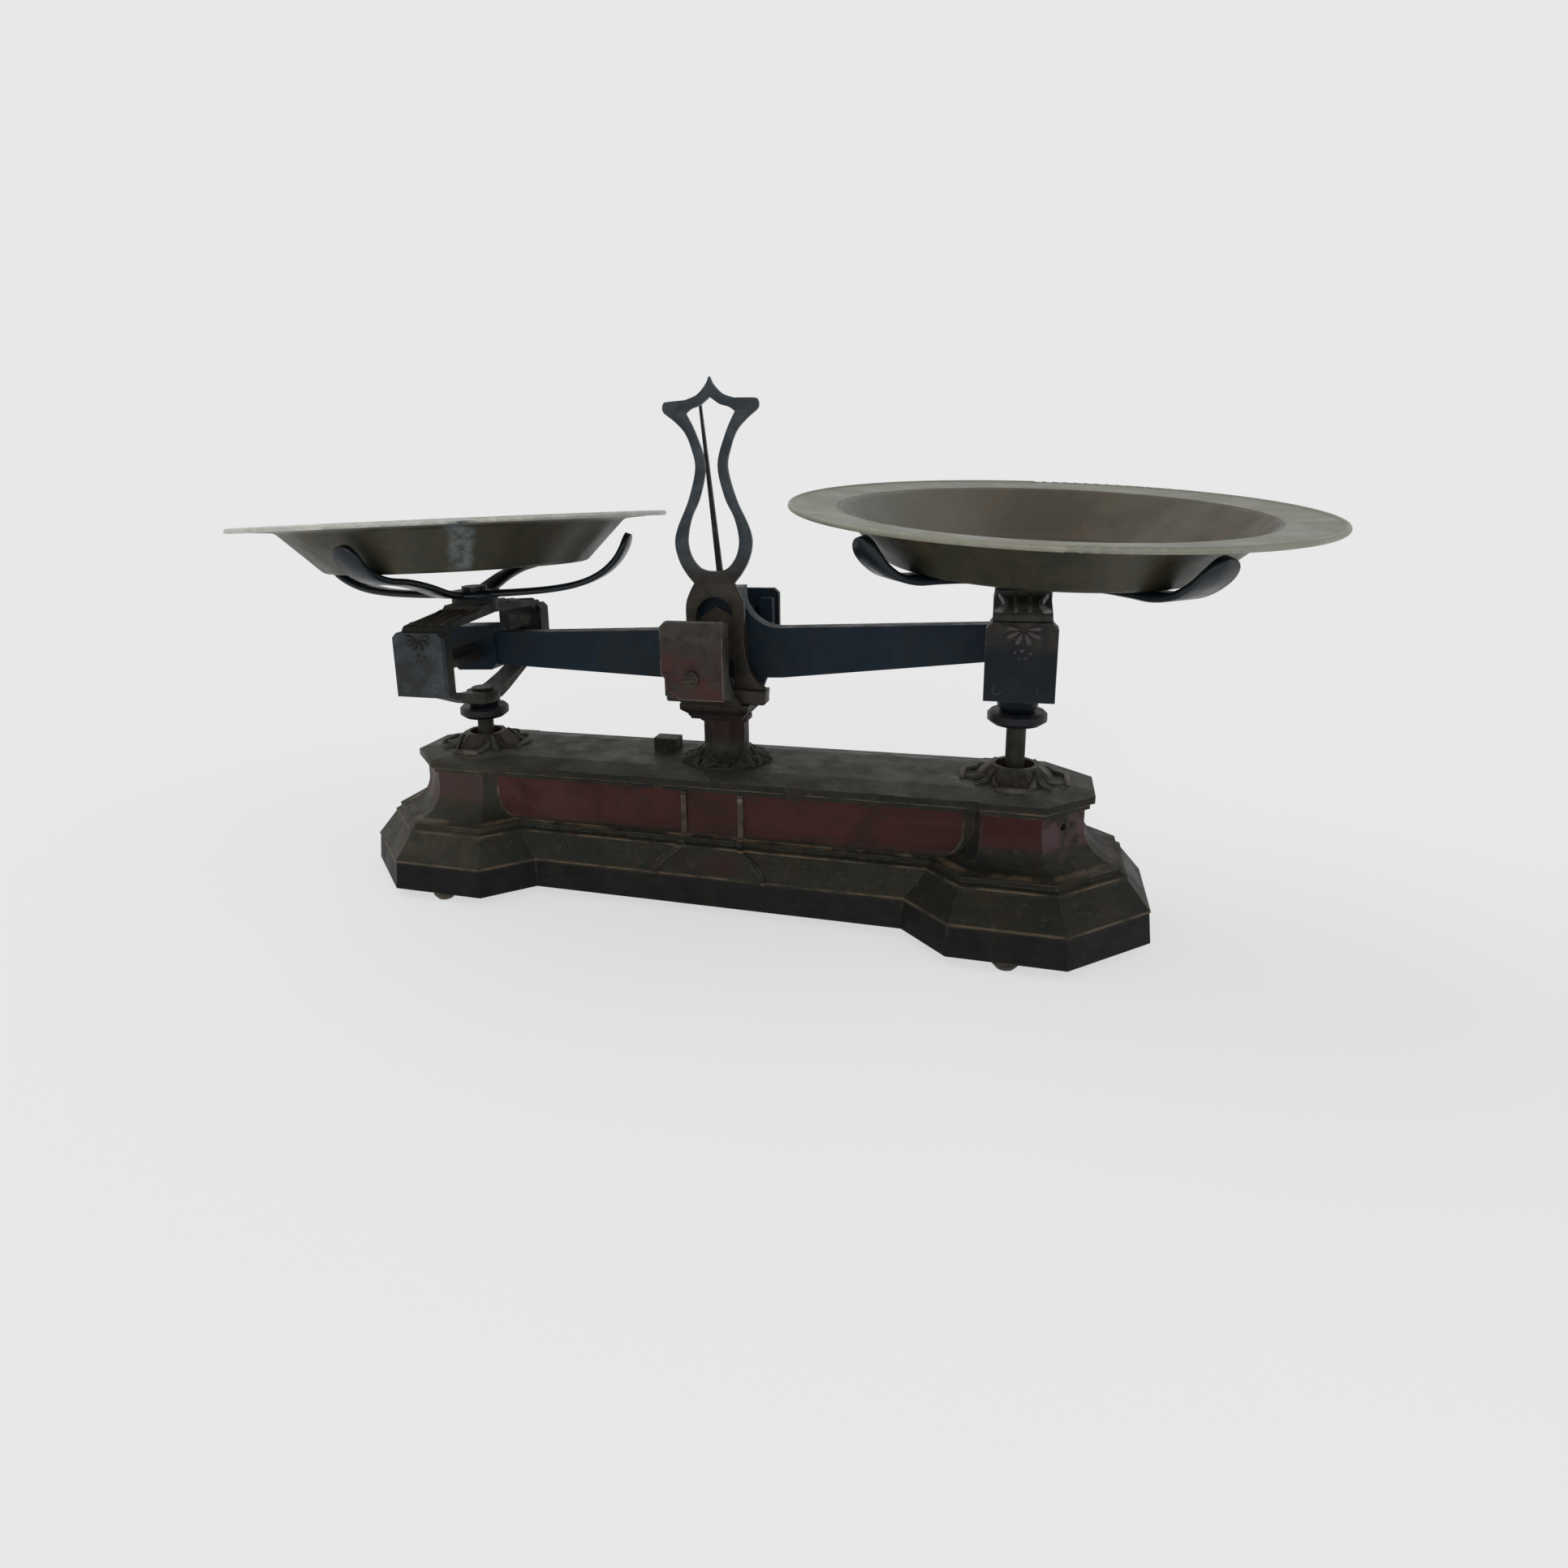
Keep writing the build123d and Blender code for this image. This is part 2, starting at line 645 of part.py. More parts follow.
def bearing_profile(height):
    """Half of a bearing's outline below its knife edge, with a shallow V; mirrored for hanging bearings."""
    rise = tan(radians(bearing_slope)) * bearing_half_width
    return [(-bearing_half_width, -height), (bearing_half_width, -height), (bearing_half_width, rise - edge_gap),
            (0, -edge_gap), (-bearing_half_width, rise - edge_gap)]


def make_fulcrum_bearing(side):
    """Steel bearing with an upward V, let into one fork arm."""
    block = polygon_prism_y(bearing_profile(bearing_height - fit_gap), fork_arm / 2)
    return Pos(0, side * (fork_outer - fork_arm / 2), pivot_height) * block


def make_cheek(side):
    """Flat cheek plate that covers one fork arm and keeps the knife in place."""
    corner = 2.2
    outline = [
        (-cheek_half_width + 1.6, cheek_bottom + 4.6),
        (-cheek_half_width + 8.2, cheek_bottom),
        (cheek_half_width, cheek_bottom),
        (cheek_half_width, cheek_top),
        (-cheek_half_width + corner, cheek_top),
        (-cheek_half_width, cheek_top - corner),
        (-cheek_half_width, cheek_bottom + 10.5),
        (-cheek_half_width + 1.6, cheek_bottom + 8.6),
    ]
    plate = polygon_prism_y(outline, cheek_thickness / 2)
    plate = Pos(0, -(fork_outer + fit_gap + cheek_thickness / 2), 0) * plate
    plate = plate - rod_y(cheek_screw_radius * 0.6 + fit_gap, -fork_outer - 10, -fork_outer + 10, 0, cheek_screw_height)
    return plate if side < 0 else Rot(Z=180) * plate


def make_cheek_screws():
    """One round-headed screw through each cheek plate into the fork."""
    face = fork_outer + fit_gap + cheek_thickness
    screws = []
    for sy in (-1, 1):
        near, far = sorted((sy * (fork_outer - fork_arm + 0.5), sy * face))
        shank = rod_y(cheek_screw_radius * 0.6, near, far, 0, cheek_screw_height)
        near, far = sorted((sy * (face + fit_gap), sy * (face + cheek_screw_head)))
        head = rod_y(cheek_screw_radius, near, far, 0, cheek_screw_height)
        bridge_near, bridge_far = sorted((sy * face, sy * (face + 2 * fit_gap)))
        neck = rod_y(cheek_screw_radius * 0.6, bridge_near, bridge_far, 0, cheek_screw_height)
        far_face = face + cheek_screw_head
        slot_near, slot_far = sorted((sy * (far_face - 0.7), sy * (far_face + 1)))
        slot = box_between((-5, slot_near, cheek_screw_height - 0.5), (5, slot_far, cheek_screw_height + 0.5))
        screws.append((shank + neck + head) - slot)
    return Compound(children=screws)


def make_column_stud():
    """Stud from the column foot down through the slab and the link bracket."""
    return rod_z(column_stud_radius, ceiling - bracket_ear - column_nut_height - 2.5, crown_top + 15)


def make_column_nut():
    """Hexagon nut under the link bracket."""
    top = ceiling - fit_gap - bracket_ear - fit_gap
    corner = column_nut_width / 2 / cos(radians(30))
    nut = Pos(0, 0, top - column_nut_height) * extrude(RegularPolygon(corner, 6), amount=column_nut_height)
    return nut - rod_z(column_stud_radius + fit_gap, top - column_nut_height - 1, top + 1)


def flowing_line(points, start_direction, end_direction):
    """A curve through (x, z) points that sets off and arrives in the given directions."""
    return Edge.make_spline(xz_points(points), tangents=[Vector(*start_direction), Vector(*end_direction)])


def arc_line(first, middle, last):
    """An arc through three (x, z) points."""
    return Edge.make_three_point_arc(*xz_points([first, middle, last]))


def symmetric_plate(edges, thickness):
    """A flat plate towards the front, mirrored about the middle; open at the foot where the edges end off it."""
    mirrored = [edge.mirror(Plane.YZ) for edge in edges]
    low = edges[-1] @ 1
    closing = [Edge.make_line(low, (-low.X, 0, low.Z))] if low.X > fit_gap else []
    return extrude(Face(Wire(list(edges) + closing + mirrored[::-1])), amount=thickness, dir=(0, -1, 0))


def make_lyre_frame():
    """Flat cast frame in the shape of a lyre, on two legs and a cross foot."""
    foot_low = fit_gap - capital_drop
    foot_top = lyre_foot_height - capital_drop
    pinch = lyre_side[-1]
    outline = [
        flowing_line(lyre_crest, (0.25, 0, -1), (1, 0, -0.2)),
        *line_chain([lyre_crest[-1], lyre_shoulder, lyre_side[0]]),
        flowing_line(lyre_side, (-1, 0, -0.45), (-0.8, 0, -1)),
        arc_line(pinch, *lyre_hip),
        *line_chain([lyre_hip[-1], lyre_leg[0]]),
        arc_line(*lyre_leg),
        *line_chain([lyre_leg[-1], (lyre_foot_half_width, foot_top)]),
    ]
    plate = symmetric_plate(outline, lyre_thickness)
    window = symmetric_plate([
        flowing_line(lyre_window_crest, (0.9, 0, -1), (0.6, 0, -1)),
        flowing_line(lyre_window_side, (-0.9, 0, -1), (-1, 0, 0)),
    ], 2 * lyre_thickness)
    plate = plate - Pos(0, lyre_thickness / 2, 0) * window
    arch = rod_y(lyre_leg_inner, -2 * lyre_thickness, lyre_thickness, 0, lyre_arch_top - lyre_leg_inner)
    arch = arch + box_between((-lyre_leg_inner, -2 * lyre_thickness, foot_top),
                              (lyre_leg_inner, lyre_thickness, lyre_arch_top - lyre_leg_inner))
    plate = Pos(0, lyre_plane, 0) * (plate - arch)
    foot_front = lyre_plane - (lyre_foot_depth + lyre_thickness) / 2
    foot = box_between((-lyre_foot_half_width, foot_front, foot_low),
                       (lyre_foot_half_width, foot_front + lyre_foot_depth, foot_top))
    foot = chamfer(foot.edges().filter_by(Axis.Y).group_by(Axis.Z)[0], lyre_foot_chamfer)
    fork_half = fork_half_width + seat_gap
    frame = plate + foot
    frame = frame - box_between((-fork_half, -fork_outer, foot_low - 1), (fork_half, 2 - capital_half_depth, foot_top + 1))
    frame = frame - box_between((-fork_half, -fork_outer, foot_low - 1),
                                (fork_half, fork_outer, fork_web_height - capital_drop + fit_gap))
    for sx in (-1, 1):
        frame = frame - rod_z(lyre_screw_radius * 0.6 + fit_gap, foot_low - 1, foot_top + 1,
                              sx * lyre_screw_place[0], lyre_screw_place[1])
    return Pos(0, 0, pivot_height) * frame


def make_lyre_screws():
    """Two round-headed screws through the cross foot into the capital."""
    top = capital_top + lyre_foot_height
    screws = []
    for sx in (-1, 1):
        x = sx * lyre_screw_place[0]
        y = lyre_screw_place[1]
        shank = rod_z(lyre_screw_radius * 0.6, capital_top - 5, top + 2 * fit_gap, x, y)
        head = rod_z(lyre_screw_radius * 0.95, top + fit_gap, top + 1.8, x, y)
        slot = box_between((x - 4, y - 0.4, top + 1.1), (x + 4, y + 0.4, top + 3))
        screws.append((shank + head) - slot)
    return Compound(children=screws)


def knife_outline(side, grow=0.0):
    """Outline of a knife with its edge at the origin; side is 1 when the steel is above the edge."""
    half = knife_half_width + grow
    shoulder = 1.2 * knife_half_width - grow
    back = knife_depth + grow
    points = [(0, -2 * grow), (half, shoulder), (half, back), (-half, back), (-half, shoulder)]
    return [(x, side * z) for x, z in points]


def make_knife(side, reach, x):
    """A steel knife bar, with its edge through (x, 0)."""
    return Pos(x, 0, 0) * polygon_prism_y(knife_outline(side), reach)


def knife_hole(side, x):
    """The hole in the beam for a knife bar."""
    return Pos(x, 0, 0) * polygon_prism_y(knife_outline(side, fit_gap), hub_thickness + head_thickness)


def on_beam(shape):
    """Bring a piece that was built level, round the fulcrum edge, to where it is stored."""
    return Pos(0, 0, pivot_height) * Rot(Y=-rest_tilt) * shape


def make_beam():
    """Cast beam: flat tapered bar, raised centre and two end heads."""
    arc_foot = hub_half_width + hub_arc
    mid = hub_arc * (1 - cos(radians(45)))
    half = [
        Edge.make_line((0, 0, -beam_middle_drop), (arc_foot, 0, -beam_middle_drop)),
        Edge.make_line((arc_foot, 0, -beam_middle_drop), (beam_taper_end, 0, -beam_end_drop)),
        Edge.make_line((beam_taper_end, 0, -beam_end_drop), (knife_spacing, 0, -beam_end_drop)),
        Edge.make_line((knife_spacing, 0, -beam_end_drop), (knife_spacing, 0, beam_top)),
        Edge.make_line((knife_spacing, 0, beam_top), (arc_foot, 0, beam_top)),
        Edge.make_three_point_arc(Vector(arc_foot, 0, beam_top),
                                  Vector(hub_half_width + mid, 0, beam_top + mid),
                                  Vector(hub_half_width, 0, beam_top + hub_arc)),
        Edge.make_line((hub_half_width, 0, beam_top + hub_arc), (hub_half_width, 0, hub_top)),
        Edge.make_line((hub_half_width, 0, hub_top), (0, 0, hub_top)),
        Edge.make_line((0, 0, hub_top), (0, 0, -beam_middle_drop)),
    ]
    right = extrude(Face(Wire(half)), amount=beam_thickness / 2, dir=(0, 1, 0), both=True)
    beam = right + right.mirror(Plane.YZ)
    pad = box_between((-hub_half_width, -hub_thickness / 2, -clamp_drop), (hub_half_width, hub_thickness / 2, hub_top))
    beam = beam + pad
    long, tall, cut = head_half_length, head_half_height, head_chamfer
    outline = [(long, -tall + cut), (long, tall - cut), (long - cut, tall), (-long + cut, tall),
               (-long, tall - cut), (-long, -tall + cut), (-long + cut, -tall), (long - cut, -tall)]
    head = polygon_prism_y(outline, head_thickness / 2)
    for sx in (-1, 1):
        beam = beam + Pos(sx * knife_spacing, 0, -head_centre_drop) * head
        beam = beam - knife_hole(-1, sx * knife_spacing)
    beam = beam - knife_hole(1, 0)
    return beam - rod_z(pointer_tang_radius + fit_gap, pointer_root - 5, hub_top + 1)


def make_knife_clamp(side):
    """Gabled plate that holds the fulcrum knife against one face of the beam."""
    outline = [(-clamp_half_width, -clamp_drop), (clamp_half_width, -clamp_drop), (clamp_half_width, clamp_eaves),
               (0, clamp_peak), (-clamp_half_width, clamp_eaves)]
    plate = polygon_prism_y(outline, clamp_thickness / 2) - knife_hole(1, 0)
    return Pos(0, side * (hub_thickness / 2 + fit_gap + clamp_thickness / 2), 0) * plate


def make_pointer():
    """Needle with a round tang; the blade is bent to the left."""
    start = hub_top + pointer_boss_height
    foot = start - 1.2
    tang = rod_z(pointer_tang_radius, pointer_root - 5 + fit_gap, start)
    lean = radians(pointer_lean)
    tip_x = -sin(lean) * pointer_length
    tip_z = start + cos(lean) * pointer_length
    outline = [(-pointer_root_width / 2, foot), (pointer_root_width / 2, foot),
               (tip_x + pointer_tip_width / 2, tip_z - 1.5), (tip_x, tip_z), (tip_x - pointer_tip_width / 2, tip_z - 1.5)]
    return tang + polygon_prism_y(outline, pointer_thickness / 2)


def make_pointer_nut():
    """Round nut at the foot of the needle."""
    low = hub_top + fit_gap
    nut = Pos(0, 0, low) * extrude(Circle(pointer_boss_radius), amount=pointer_boss_height - 2 * fit_gap, taper=12)
    hole = rod_z(pointer_tang_radius + fit_gap, low - 1, low + 10)
    blade = box_between((-pointer_root_width, -pointer_thickness / 2 - fit_gap, low + pointer_boss_height - 1.3),
                        (pointer_root_width, pointer_thickness / 2 + fit_gap, low + 10))
    return nut - hole - blade


def on_carrier(shape, knife):
    """Bring a piece of a carrier, built round its knife edge, to where it is stored."""
    return Pos(*knife) * shape


def half_strap(outer, inner, half_width, bends, radius):
    """Half of a bent strap across the beam, from its side to the middle, with its bends rounded."""
    face = Face(Wire.make_polygon(yz_points(outer + inner[::-1]), close=True))
    for y, z in bends:
        vertex = face.vertices().sort_by_distance((0, y, z))[0]
        face = face.fillet_2d(radius, [vertex])
    return extrude(face, amount=half_width, dir=(1, 0, 0), both=True)


def make_carrier_hanger():
    """Arched bridge with a post at the front and one at the rear; each post has a window for its bearing."""
    reach = carrier_reach
    inside = reach - post_thickness
    low = bridge_crown - bridge_thickness
    shoulder = (reach, post_top - carrier_cheek_shoulder)
    eaves = (reach - bridge_eaves[0], bridge_eaves[1])
    haunch = (inside - bridge_haunch[0], bridge_haunch[1])
    haunch_foot = (inside, bridge_haunch_foot)
    outer = [(reach, post_bottom), shoulder, eaves, bridge_slope_top, (hub_seat_radius, bridge_crown),
             (0, bridge_crown)]
    inner = [(inside, post_bottom), haunch_foot, haunch, (0, low)]
    bends = [shoulder, eaves, haunch_foot, haunch]
    half = half_strap(outer, inner, bridge_half_width, bends, bridge_bend)
    post = box_between((-post_half_width, inside, post_bottom), (post_half_width, reach, post_top))
    half = half + chamfer(post.edges().filter_by(Axis.Y).group_by(Axis.Z)[-1], carrier_cheek_shoulder)
    seat_half = bearing_half_width + fit_gap
    window = box_between((-seat_half, inside - 1, -knife_depth - window_drop), (seat_half, reach + 1, bearing_height))
    tenon_outer = reach - yoke_tenon_inset
    tenon = box_between((-yoke_tenon_half - fit_gap, tenon_outer - yoke_tenon_thickness - fit_gap, post_bottom - 1),
                        (yoke_tenon_half + fit_gap, tenon_outer + fit_gap, post_bottom + yoke_tenon_height + fit_gap))
    half = half - window - tenon
    for sx in (-1, 1):
        half = half - rod_y(rivet_radius + fit_gap, reach - rivet_depth, reach + 1, sx * rivet_place[0], rivet_place[1])
    hanger = half + half.mirror(Plane.XZ)
    hanger = hanger + rod_z(hub_seat_radius, low + 0.6, hub_seat_height)
    return hanger - rod_z(spider_screw_radius + fit_gap, low - 1, hub_seat_height + 1)


def make_carrier_cheek(side):
    """Flat cheek over one post, with cut shoulders."""
    half, cut = post_half_width, carrier_cheek_shoulder
    outline = [(-half, post_bottom), (half, post_bottom), (half, post_top - cut), (half - cut, post_top),
               (-half + cut, post_top), (-half, post_top - cut)]
    plate = polygon_prism_y(outline, cheek_thickness / 2)
    for sx in (-1, 1):
        plate = plate - rod_y(rivet_radius + fit_gap, -cheek_thickness, cheek_thickness, sx * rivet_place[0],
                              rivet_place[1])
    return Pos(0, side * (carrier_reach + fit_gap + cheek_thickness / 2), 0) * plate


def make_carrier_rivets(knife):
    """Four flush rivets through the cheeks into the posts."""
    rivets = []
    for sx in (-1, 1):
        for sy in (-1, 1):
            near, far = sorted((sy * (carrier_reach - rivet_depth), sy * (carrier_reach + fit_gap + cheek_thickness)))
            rivet = rod_y(rivet_radius, near, far, sx * rivet_place[0], rivet_place[1])
            rivets.append(on_carrier(rivet, knife))
    return Compound(children=rivets)


def make_carrier_bearing(side):
    """Steel bearing with a downward V, above the knife in one post."""
    profile = [(x, -z) for x, z in bearing_profile(bearing_height - fit_gap)]
    block = polygon_prism_y(profile, post_thickness / 2)
    return Pos(0, side * (carrier_reach - post_thickness / 2), 0) * block


def make_carrier_yoke():
    """U-shaped strap under the beam, tenoned into the feet of the two posts."""
    top = post_bottom - fit_gap
    side = carrier_reach - 0.5
    corner_line = [(carrier_reach - inset, z) for inset, z in yoke_corner_line]
    under_line = [(carrier_reach - yoke_under_corner[0], yoke_under_corner[1])] + yoke_under_sag_line
    outer = [(side, top)] + corner_line + yoke_sag_line + [(0, yoke_bottom)]
    inner = [(side - yoke_thickness, top)] + under_line + [(0, yoke_bottom + yoke_thickness)]
    bends = [corner_line[-1], yoke_sag_line[0]] + under_line
    half = half_strap(outer, inner, yoke_half_width, bends, yoke_bend)
    tenon_outer = carrier_reach - yoke_tenon_inset
    tenon = box_between((-yoke_tenon_half, tenon_outer - yoke_tenon_thickness, top - 0.5),
                        (yoke_tenon_half, tenon_outer, post_bottom + yoke_tenon_height))
    half = half + tenon
    yoke = half + half.mirror(Plane.XZ)
    yoke = yoke + rod_z(collar_neck_radius, yoke_bottom, yoke_bottom + yoke_thickness + 0.5)
    return yoke - rod_z(stem_radius + fit_gap, yoke_bottom - 1, yoke_bottom + 10)


def make_carrier_collar():
    """Turned collar under the yoke."""
    low = collar_top - collar_thickness
    outline = [(stem_radius + fit_gap, low), (collar_radius - 2.4, low), (collar_radius, low + 1.8),
               (collar_radius, collar_top - 1.2), (collar_radius - 1.2, collar_top), (collar_neck_radius - 1.4, collar_top),
               (collar_neck_radius, yoke_bottom - fit_gap), (stem_radius + fit_gap, yoke_bottom - fit_gap)]
    return revolve(Face(Wire.make_polygon(xz_points(outline), close=True)), Axis.Z)


def make_carrier_stem():
    """Round stem from the yoke down into the base, ending in a flat eye."""
    eye = -linkage_height
    top = yoke_bottom + yoke_thickness + 0.5 + fit_gap
    stem = rod_z(stem_radius, eye + eye_shank, top + 1.4)
    stem = stem + rod_z(stem_radius + 1.4, top, top + 1.4)
    stem = stem + box_between((-stem_radius, -eye_thickness / 2, eye), (stem_radius, eye_thickness / 2, eye + eye_shank + 1))
    stem = stem + rod_y(eye_radius, -eye_thickness / 2, eye_thickness / 2, 0, eye)
    return stem - rod_y(link_pin_radius + running_gap, -eye_thickness, eye_thickness, 0, eye)


def on_link(shape):
    """Bring a piece of the lower link, built level round its centre pin, to where it is stored."""
    return Pos(0, 0, link_height) * Rot(Y=-rest_tilt) * shape


def make_check_link():
    """Flat lower link with a boss in the middle and a fork at each end."""
    fork_start = knife_spacing - link_fork_length + 5
    fork_end = knife_spacing + 5
    middle, end = link_middle_height / 2, link_end_height / 2
    deep = link_middle_length / 2
    outline = [(-fork_start, -end), (-deep, -middle), (deep, -middle), (fork_start, -end),
               (fork_start, end), (deep, middle), (-deep, middle), (-fork_start, end)]
    link = polygon_prism_y(outline, link_bar_thickness / 2)
    half = link_fork_thickness / 2
    link = link + rod_y(link_middle_height / 2, -half, half, 0, 0)
    slot = eye_thickness / 2 + link_slot_gap
    for sx in (-1, 1):
        near, far = sorted((sx * fork_start, sx * fork_end))
        block = box_between((near, -half, -end), (far, half, end))
        gap_near, gap_far = sorted((sx * (knife_spacing - eye_radius - 1.2), sx * (fork_end + 1)))
        block = block - box_between((gap_near, -slot, -end - 1), (gap_far, slot, end + 1))
        link = link + block
        link = link - rod_y(link_pin_radius + fit_gap, -2 * half, 2 * half, sx * knife_spacing, 0)
        slot_cut = box_between((gap_near, -slot, -2 * middle), (gap_far, slot, 2 * middle))
        link = link - slot_cut
    return link - rod_y(centre_pin_radius + running_gap, -2 * half, 2 * half, 0, 0)


def make_link_end_pins():
    """Two pins fixed in the forks of the link."""
    half = link_fork_thickness / 2
    return Compound(children=[on_link(rod_y(link_pin_radius, -half, half, sx * knife_spacing, 0)) for sx in (-1, 1)])


def seat_frame(knife, lean):
    """The leaning frame of a pan and its spider, at the seat on the bridge."""
    return Pos(knife[0], knife[1], knife[2] + hub_seat_height) * Rot(X=lean[0], Y=lean[1])


def pan_centre(side, lean, rise):
    """Where the middle of the pan's underside is, in the leaning frame."""
    height = rise + pan_depth
    across = side * pan_offset - height * sin(radians(lean[1]))
    along = height * sin(radians(lean[0]))
    return (across, along, rise)


def offset_points(points, distance):
    """A line of points moved sideways by a distance, with mitred corners."""
    moved = []
    for index, (x, z) in enumerate(points):
        before = points[index - 1] if index > 0 else None
        after = points[index + 1] if index + 1 < len(points) else None
        normals = []
        for a, b in ((before, (x, z)), ((x, z), after)):
            if a is None or b is None:
                continue
            length = sqrt((b[0] - a[0]) ** 2 + (b[1] - a[1]) ** 2)
            normals.append(((b[1] - a[1]) / length, -(b[0] - a[0]) / length))
        nx = sum(n[0] for n in normals) / len(normals)
        nz = sum(n[1] for n in normals) / len(normals)
        scale = distance / (nx * nx + nz * nz)
        moved.append((x + nx * scale, z + nz * scale))
    return moved


def rounded_sheet(points, thickness, radius, corners):
    """A bent strip under a line of points, as a face in the XZ plane, with its bends rounded."""
    under = offset_points(points, thickness)
    face = Face(Wire.make_polygon(xz_points(points + under[::-1]), close=True))
    for index in corners:
        for x, z in (points[index], under[index]):
            vertex = face.vertices().sort_by_distance((x, 0, z))[0]
            face = face.fillet_2d(radius, [vertex])
    return face


def make_spider(side, knife, lean, rise, line, turn):
    """Hub plate with four arms whose tips are bent up under the pan."""
    face = rounded_sheet(line, arm_thickness, arm_bend_round, range(1, len(line) - 1))
    arm = extrude(face, amount=arm_width / 2, dir=(0, 1, 0), both=True)
    tip = line[-1][1]
    shape = Plane.YZ * Pos(0, tip / 2 - arm_width) * RectangleRounded(arm_width, tip + 2 * arm_width, arm_tip_round)
    arm = arm & extrude(shape, amount=2 * pan_radius, both=True)
    centre = pan_centre(side, lean, rise)
    arms = arm
    for quarter in (90, 180, 270):
        arms = arms + Rot(Z=quarter) * arm
    arms = Pos(side * arm_shift, centre[1], 0) * Rot(Z=turn) * arms
    frame = Rot(X=lean[0], Y=lean[1])
    spider = (frame * arms) - rod_z(hub_seat_radius + spider_seat_clearance, -arm_width, fit_gap)
    spider = spider + rod_z(spider_hub_radius, fit_gap, spider_hub_thickness)
    spider = spider - rod_z(spider_hub_radius - 1, spider_hub_thickness, spider_hub_thickness + 8)
    spider = spider - rod_z(spider_screw_radius + fit_gap, -1, 10)
    return Pos(knife[0], knife[1], knife[2] + hub_seat_height) * spider


def make_spider_screw(knife):
    """Slotted screw that holds the spider on its seat."""
    low = bridge_crown - bridge_thickness - hub_seat_height
    head_low = spider_hub_thickness + fit_gap
    head_top = head_low + spider_screw_head_height
    screw = rod_z(spider_screw_radius, low, head_low + 0.5) + rod_z(spider_screw_head_radius, head_low, head_top)
    screw = screw - box_between((-10, -0.6, head_top - 1.2), (10, 0.6, head_top + 1))
    return Pos(knife[0], knife[1], knife[2] + hub_seat_height) * screw


def make_pan(side, knife, lean, rise):
    """Round sheet-brass pan with sloping wall, flat rim and wired edge."""
    edge = pan_radius - pan_rim_bead
    upper = [(0.0, pan_sheet), (pan_bottom_radius - 0.6, pan_sheet), (pan_wall_radius - 0.6, pan_wall_height + pan_sheet),
             (edge, pan_depth)]
    face = rounded_sheet(upper, pan_sheet, pan_corner, (1, 2))
    bead = Pos(edge, 0, pan_depth - pan_sheet / 2) * Rot(X=90) * Circle(pan_rim_bead)
    pan = revolve(face, Axis.Z) + revolve(bead.face(), Axis.Z)
    centre = pan_centre(side, lean, rise)
    return seat_frame(knife, lean) * Pos(*centre) * pan


PARTS = {
    "base_casting": make_base_casting,
    "bottom_plate": make_bottom_plate,
    "bottom_plate_screws": make_bottom_plate_screws,
    "base_feet": make_base_feet,
    "stem_buffers": make_stem_buffers,
    "link_bracket": make_link_bracket,
    "link_centre_pin": make_link_centre_pin,
    "column": make_column,
    "column_stud": make_column_stud,
    "column_nut": make_column_nut,
    "fulcrum_bearing_front": lambda: make_fulcrum_bearing(-1),
    "fulcrum_bearing_rear": lambda: make_fulcrum_bearing(1),
    "column_cheek_front": lambda: make_cheek(-1),
    "column_cheek_rear": lambda: make_cheek(1),
    "column_cheek_screws": make_cheek_screws,
    "lyre_frame": make_lyre_frame,
    "lyre_screws": make_lyre_screws,
    "beam": lambda: on_beam(make_beam()),
    "fulcrum_knife": lambda: on_beam(make_knife(1, fork_outer - 0.4, 0)),
    "left_end_knife": lambda: on_beam(make_knife(-1, carrier_reach - 0.4, -knife_spacing)),
    "right_end_knife": lambda: on_beam(make_knife(-1, carrier_reach - 0.4, knife_spacing)),
    "knife_clamp_front": lambda: on_beam(make_knife_clamp(-1)),
    "knife_clamp_rear": lambda: on_beam(make_knife_clamp(1)),
    "pointer": lambda: on_beam(make_pointer()),
    "pointer_nut": lambda: on_beam(make_pointer_nut()),
    "check_link": lambda: on_link(make_check_link()),
    "check_link_end_pins": make_link_end_pins,
}

for side_name, knife_place in (("left", left_knife), ("right", right_knife)):
    place = knife_place
    PARTS.update({
        f"{side_name}_hanger": lambda k=place: on_carrier(make_carrier_hanger(), k),
        f"{side_name}_cheek_front": lambda k=place: on_carrier(make_carrier_cheek(-1), k),
        f"{side_name}_cheek_rear": lambda k=place: on_carrier(make_carrier_cheek(1), k),
        f"{side_name}_cheek_rivets": lambda k=place: make_carrier_rivets(k),
        f"{side_name}_bearing_front": lambda k=place: on_carrier(make_carrier_bearing(-1), k),
        f"{side_name}_bearing_rear": lambda k=place: on_carrier(make_carrier_bearing(1), k),
        f"{side_name}_yoke": lambda k=place: on_carrier(make_carrier_yoke(), k),
        f"{side_name}_collar": lambda k=place: on_carrier(make_carrier_collar(), k),
        f"{side_name}_stem": lambda k=place: on_carrier(make_carrier_stem(), k),
        f"{side_name}_spider_screw": lambda k=place: make_spider_screw(k),
    })

PARTS["left_spider"] = lambda: make_spider(-1, left_knife, pan_lean_left, pan_rise_left, arm_line_left, arm_turn_left)
PARTS["right_spider"] = lambda: make_spider(1, right_knife, pan_lean_right, pan_rise_right, arm_line_right, arm_turn_right)
PARTS["left_pan"] = lambda: make_pan(-1, left_knife, pan_lean_left, pan_rise_left)
PARTS["right_pan"] = lambda: make_pan(1, right_knife, pan_lean_right, pan_rise_right)

os.makedirs("parts", exist_ok=True)
for name, maker in PARTS.items():
    export_step(maker(), f"parts/{name}.step")
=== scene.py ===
"""Looks of the counter balance: materials, cast ornaments, light and camera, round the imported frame."""
import json
from math import cos, pi, radians, sin, sqrt

import bmesh
import bpy
from mathutils import Matrix, Vector
from mathutils.bvhtree import BVHTree


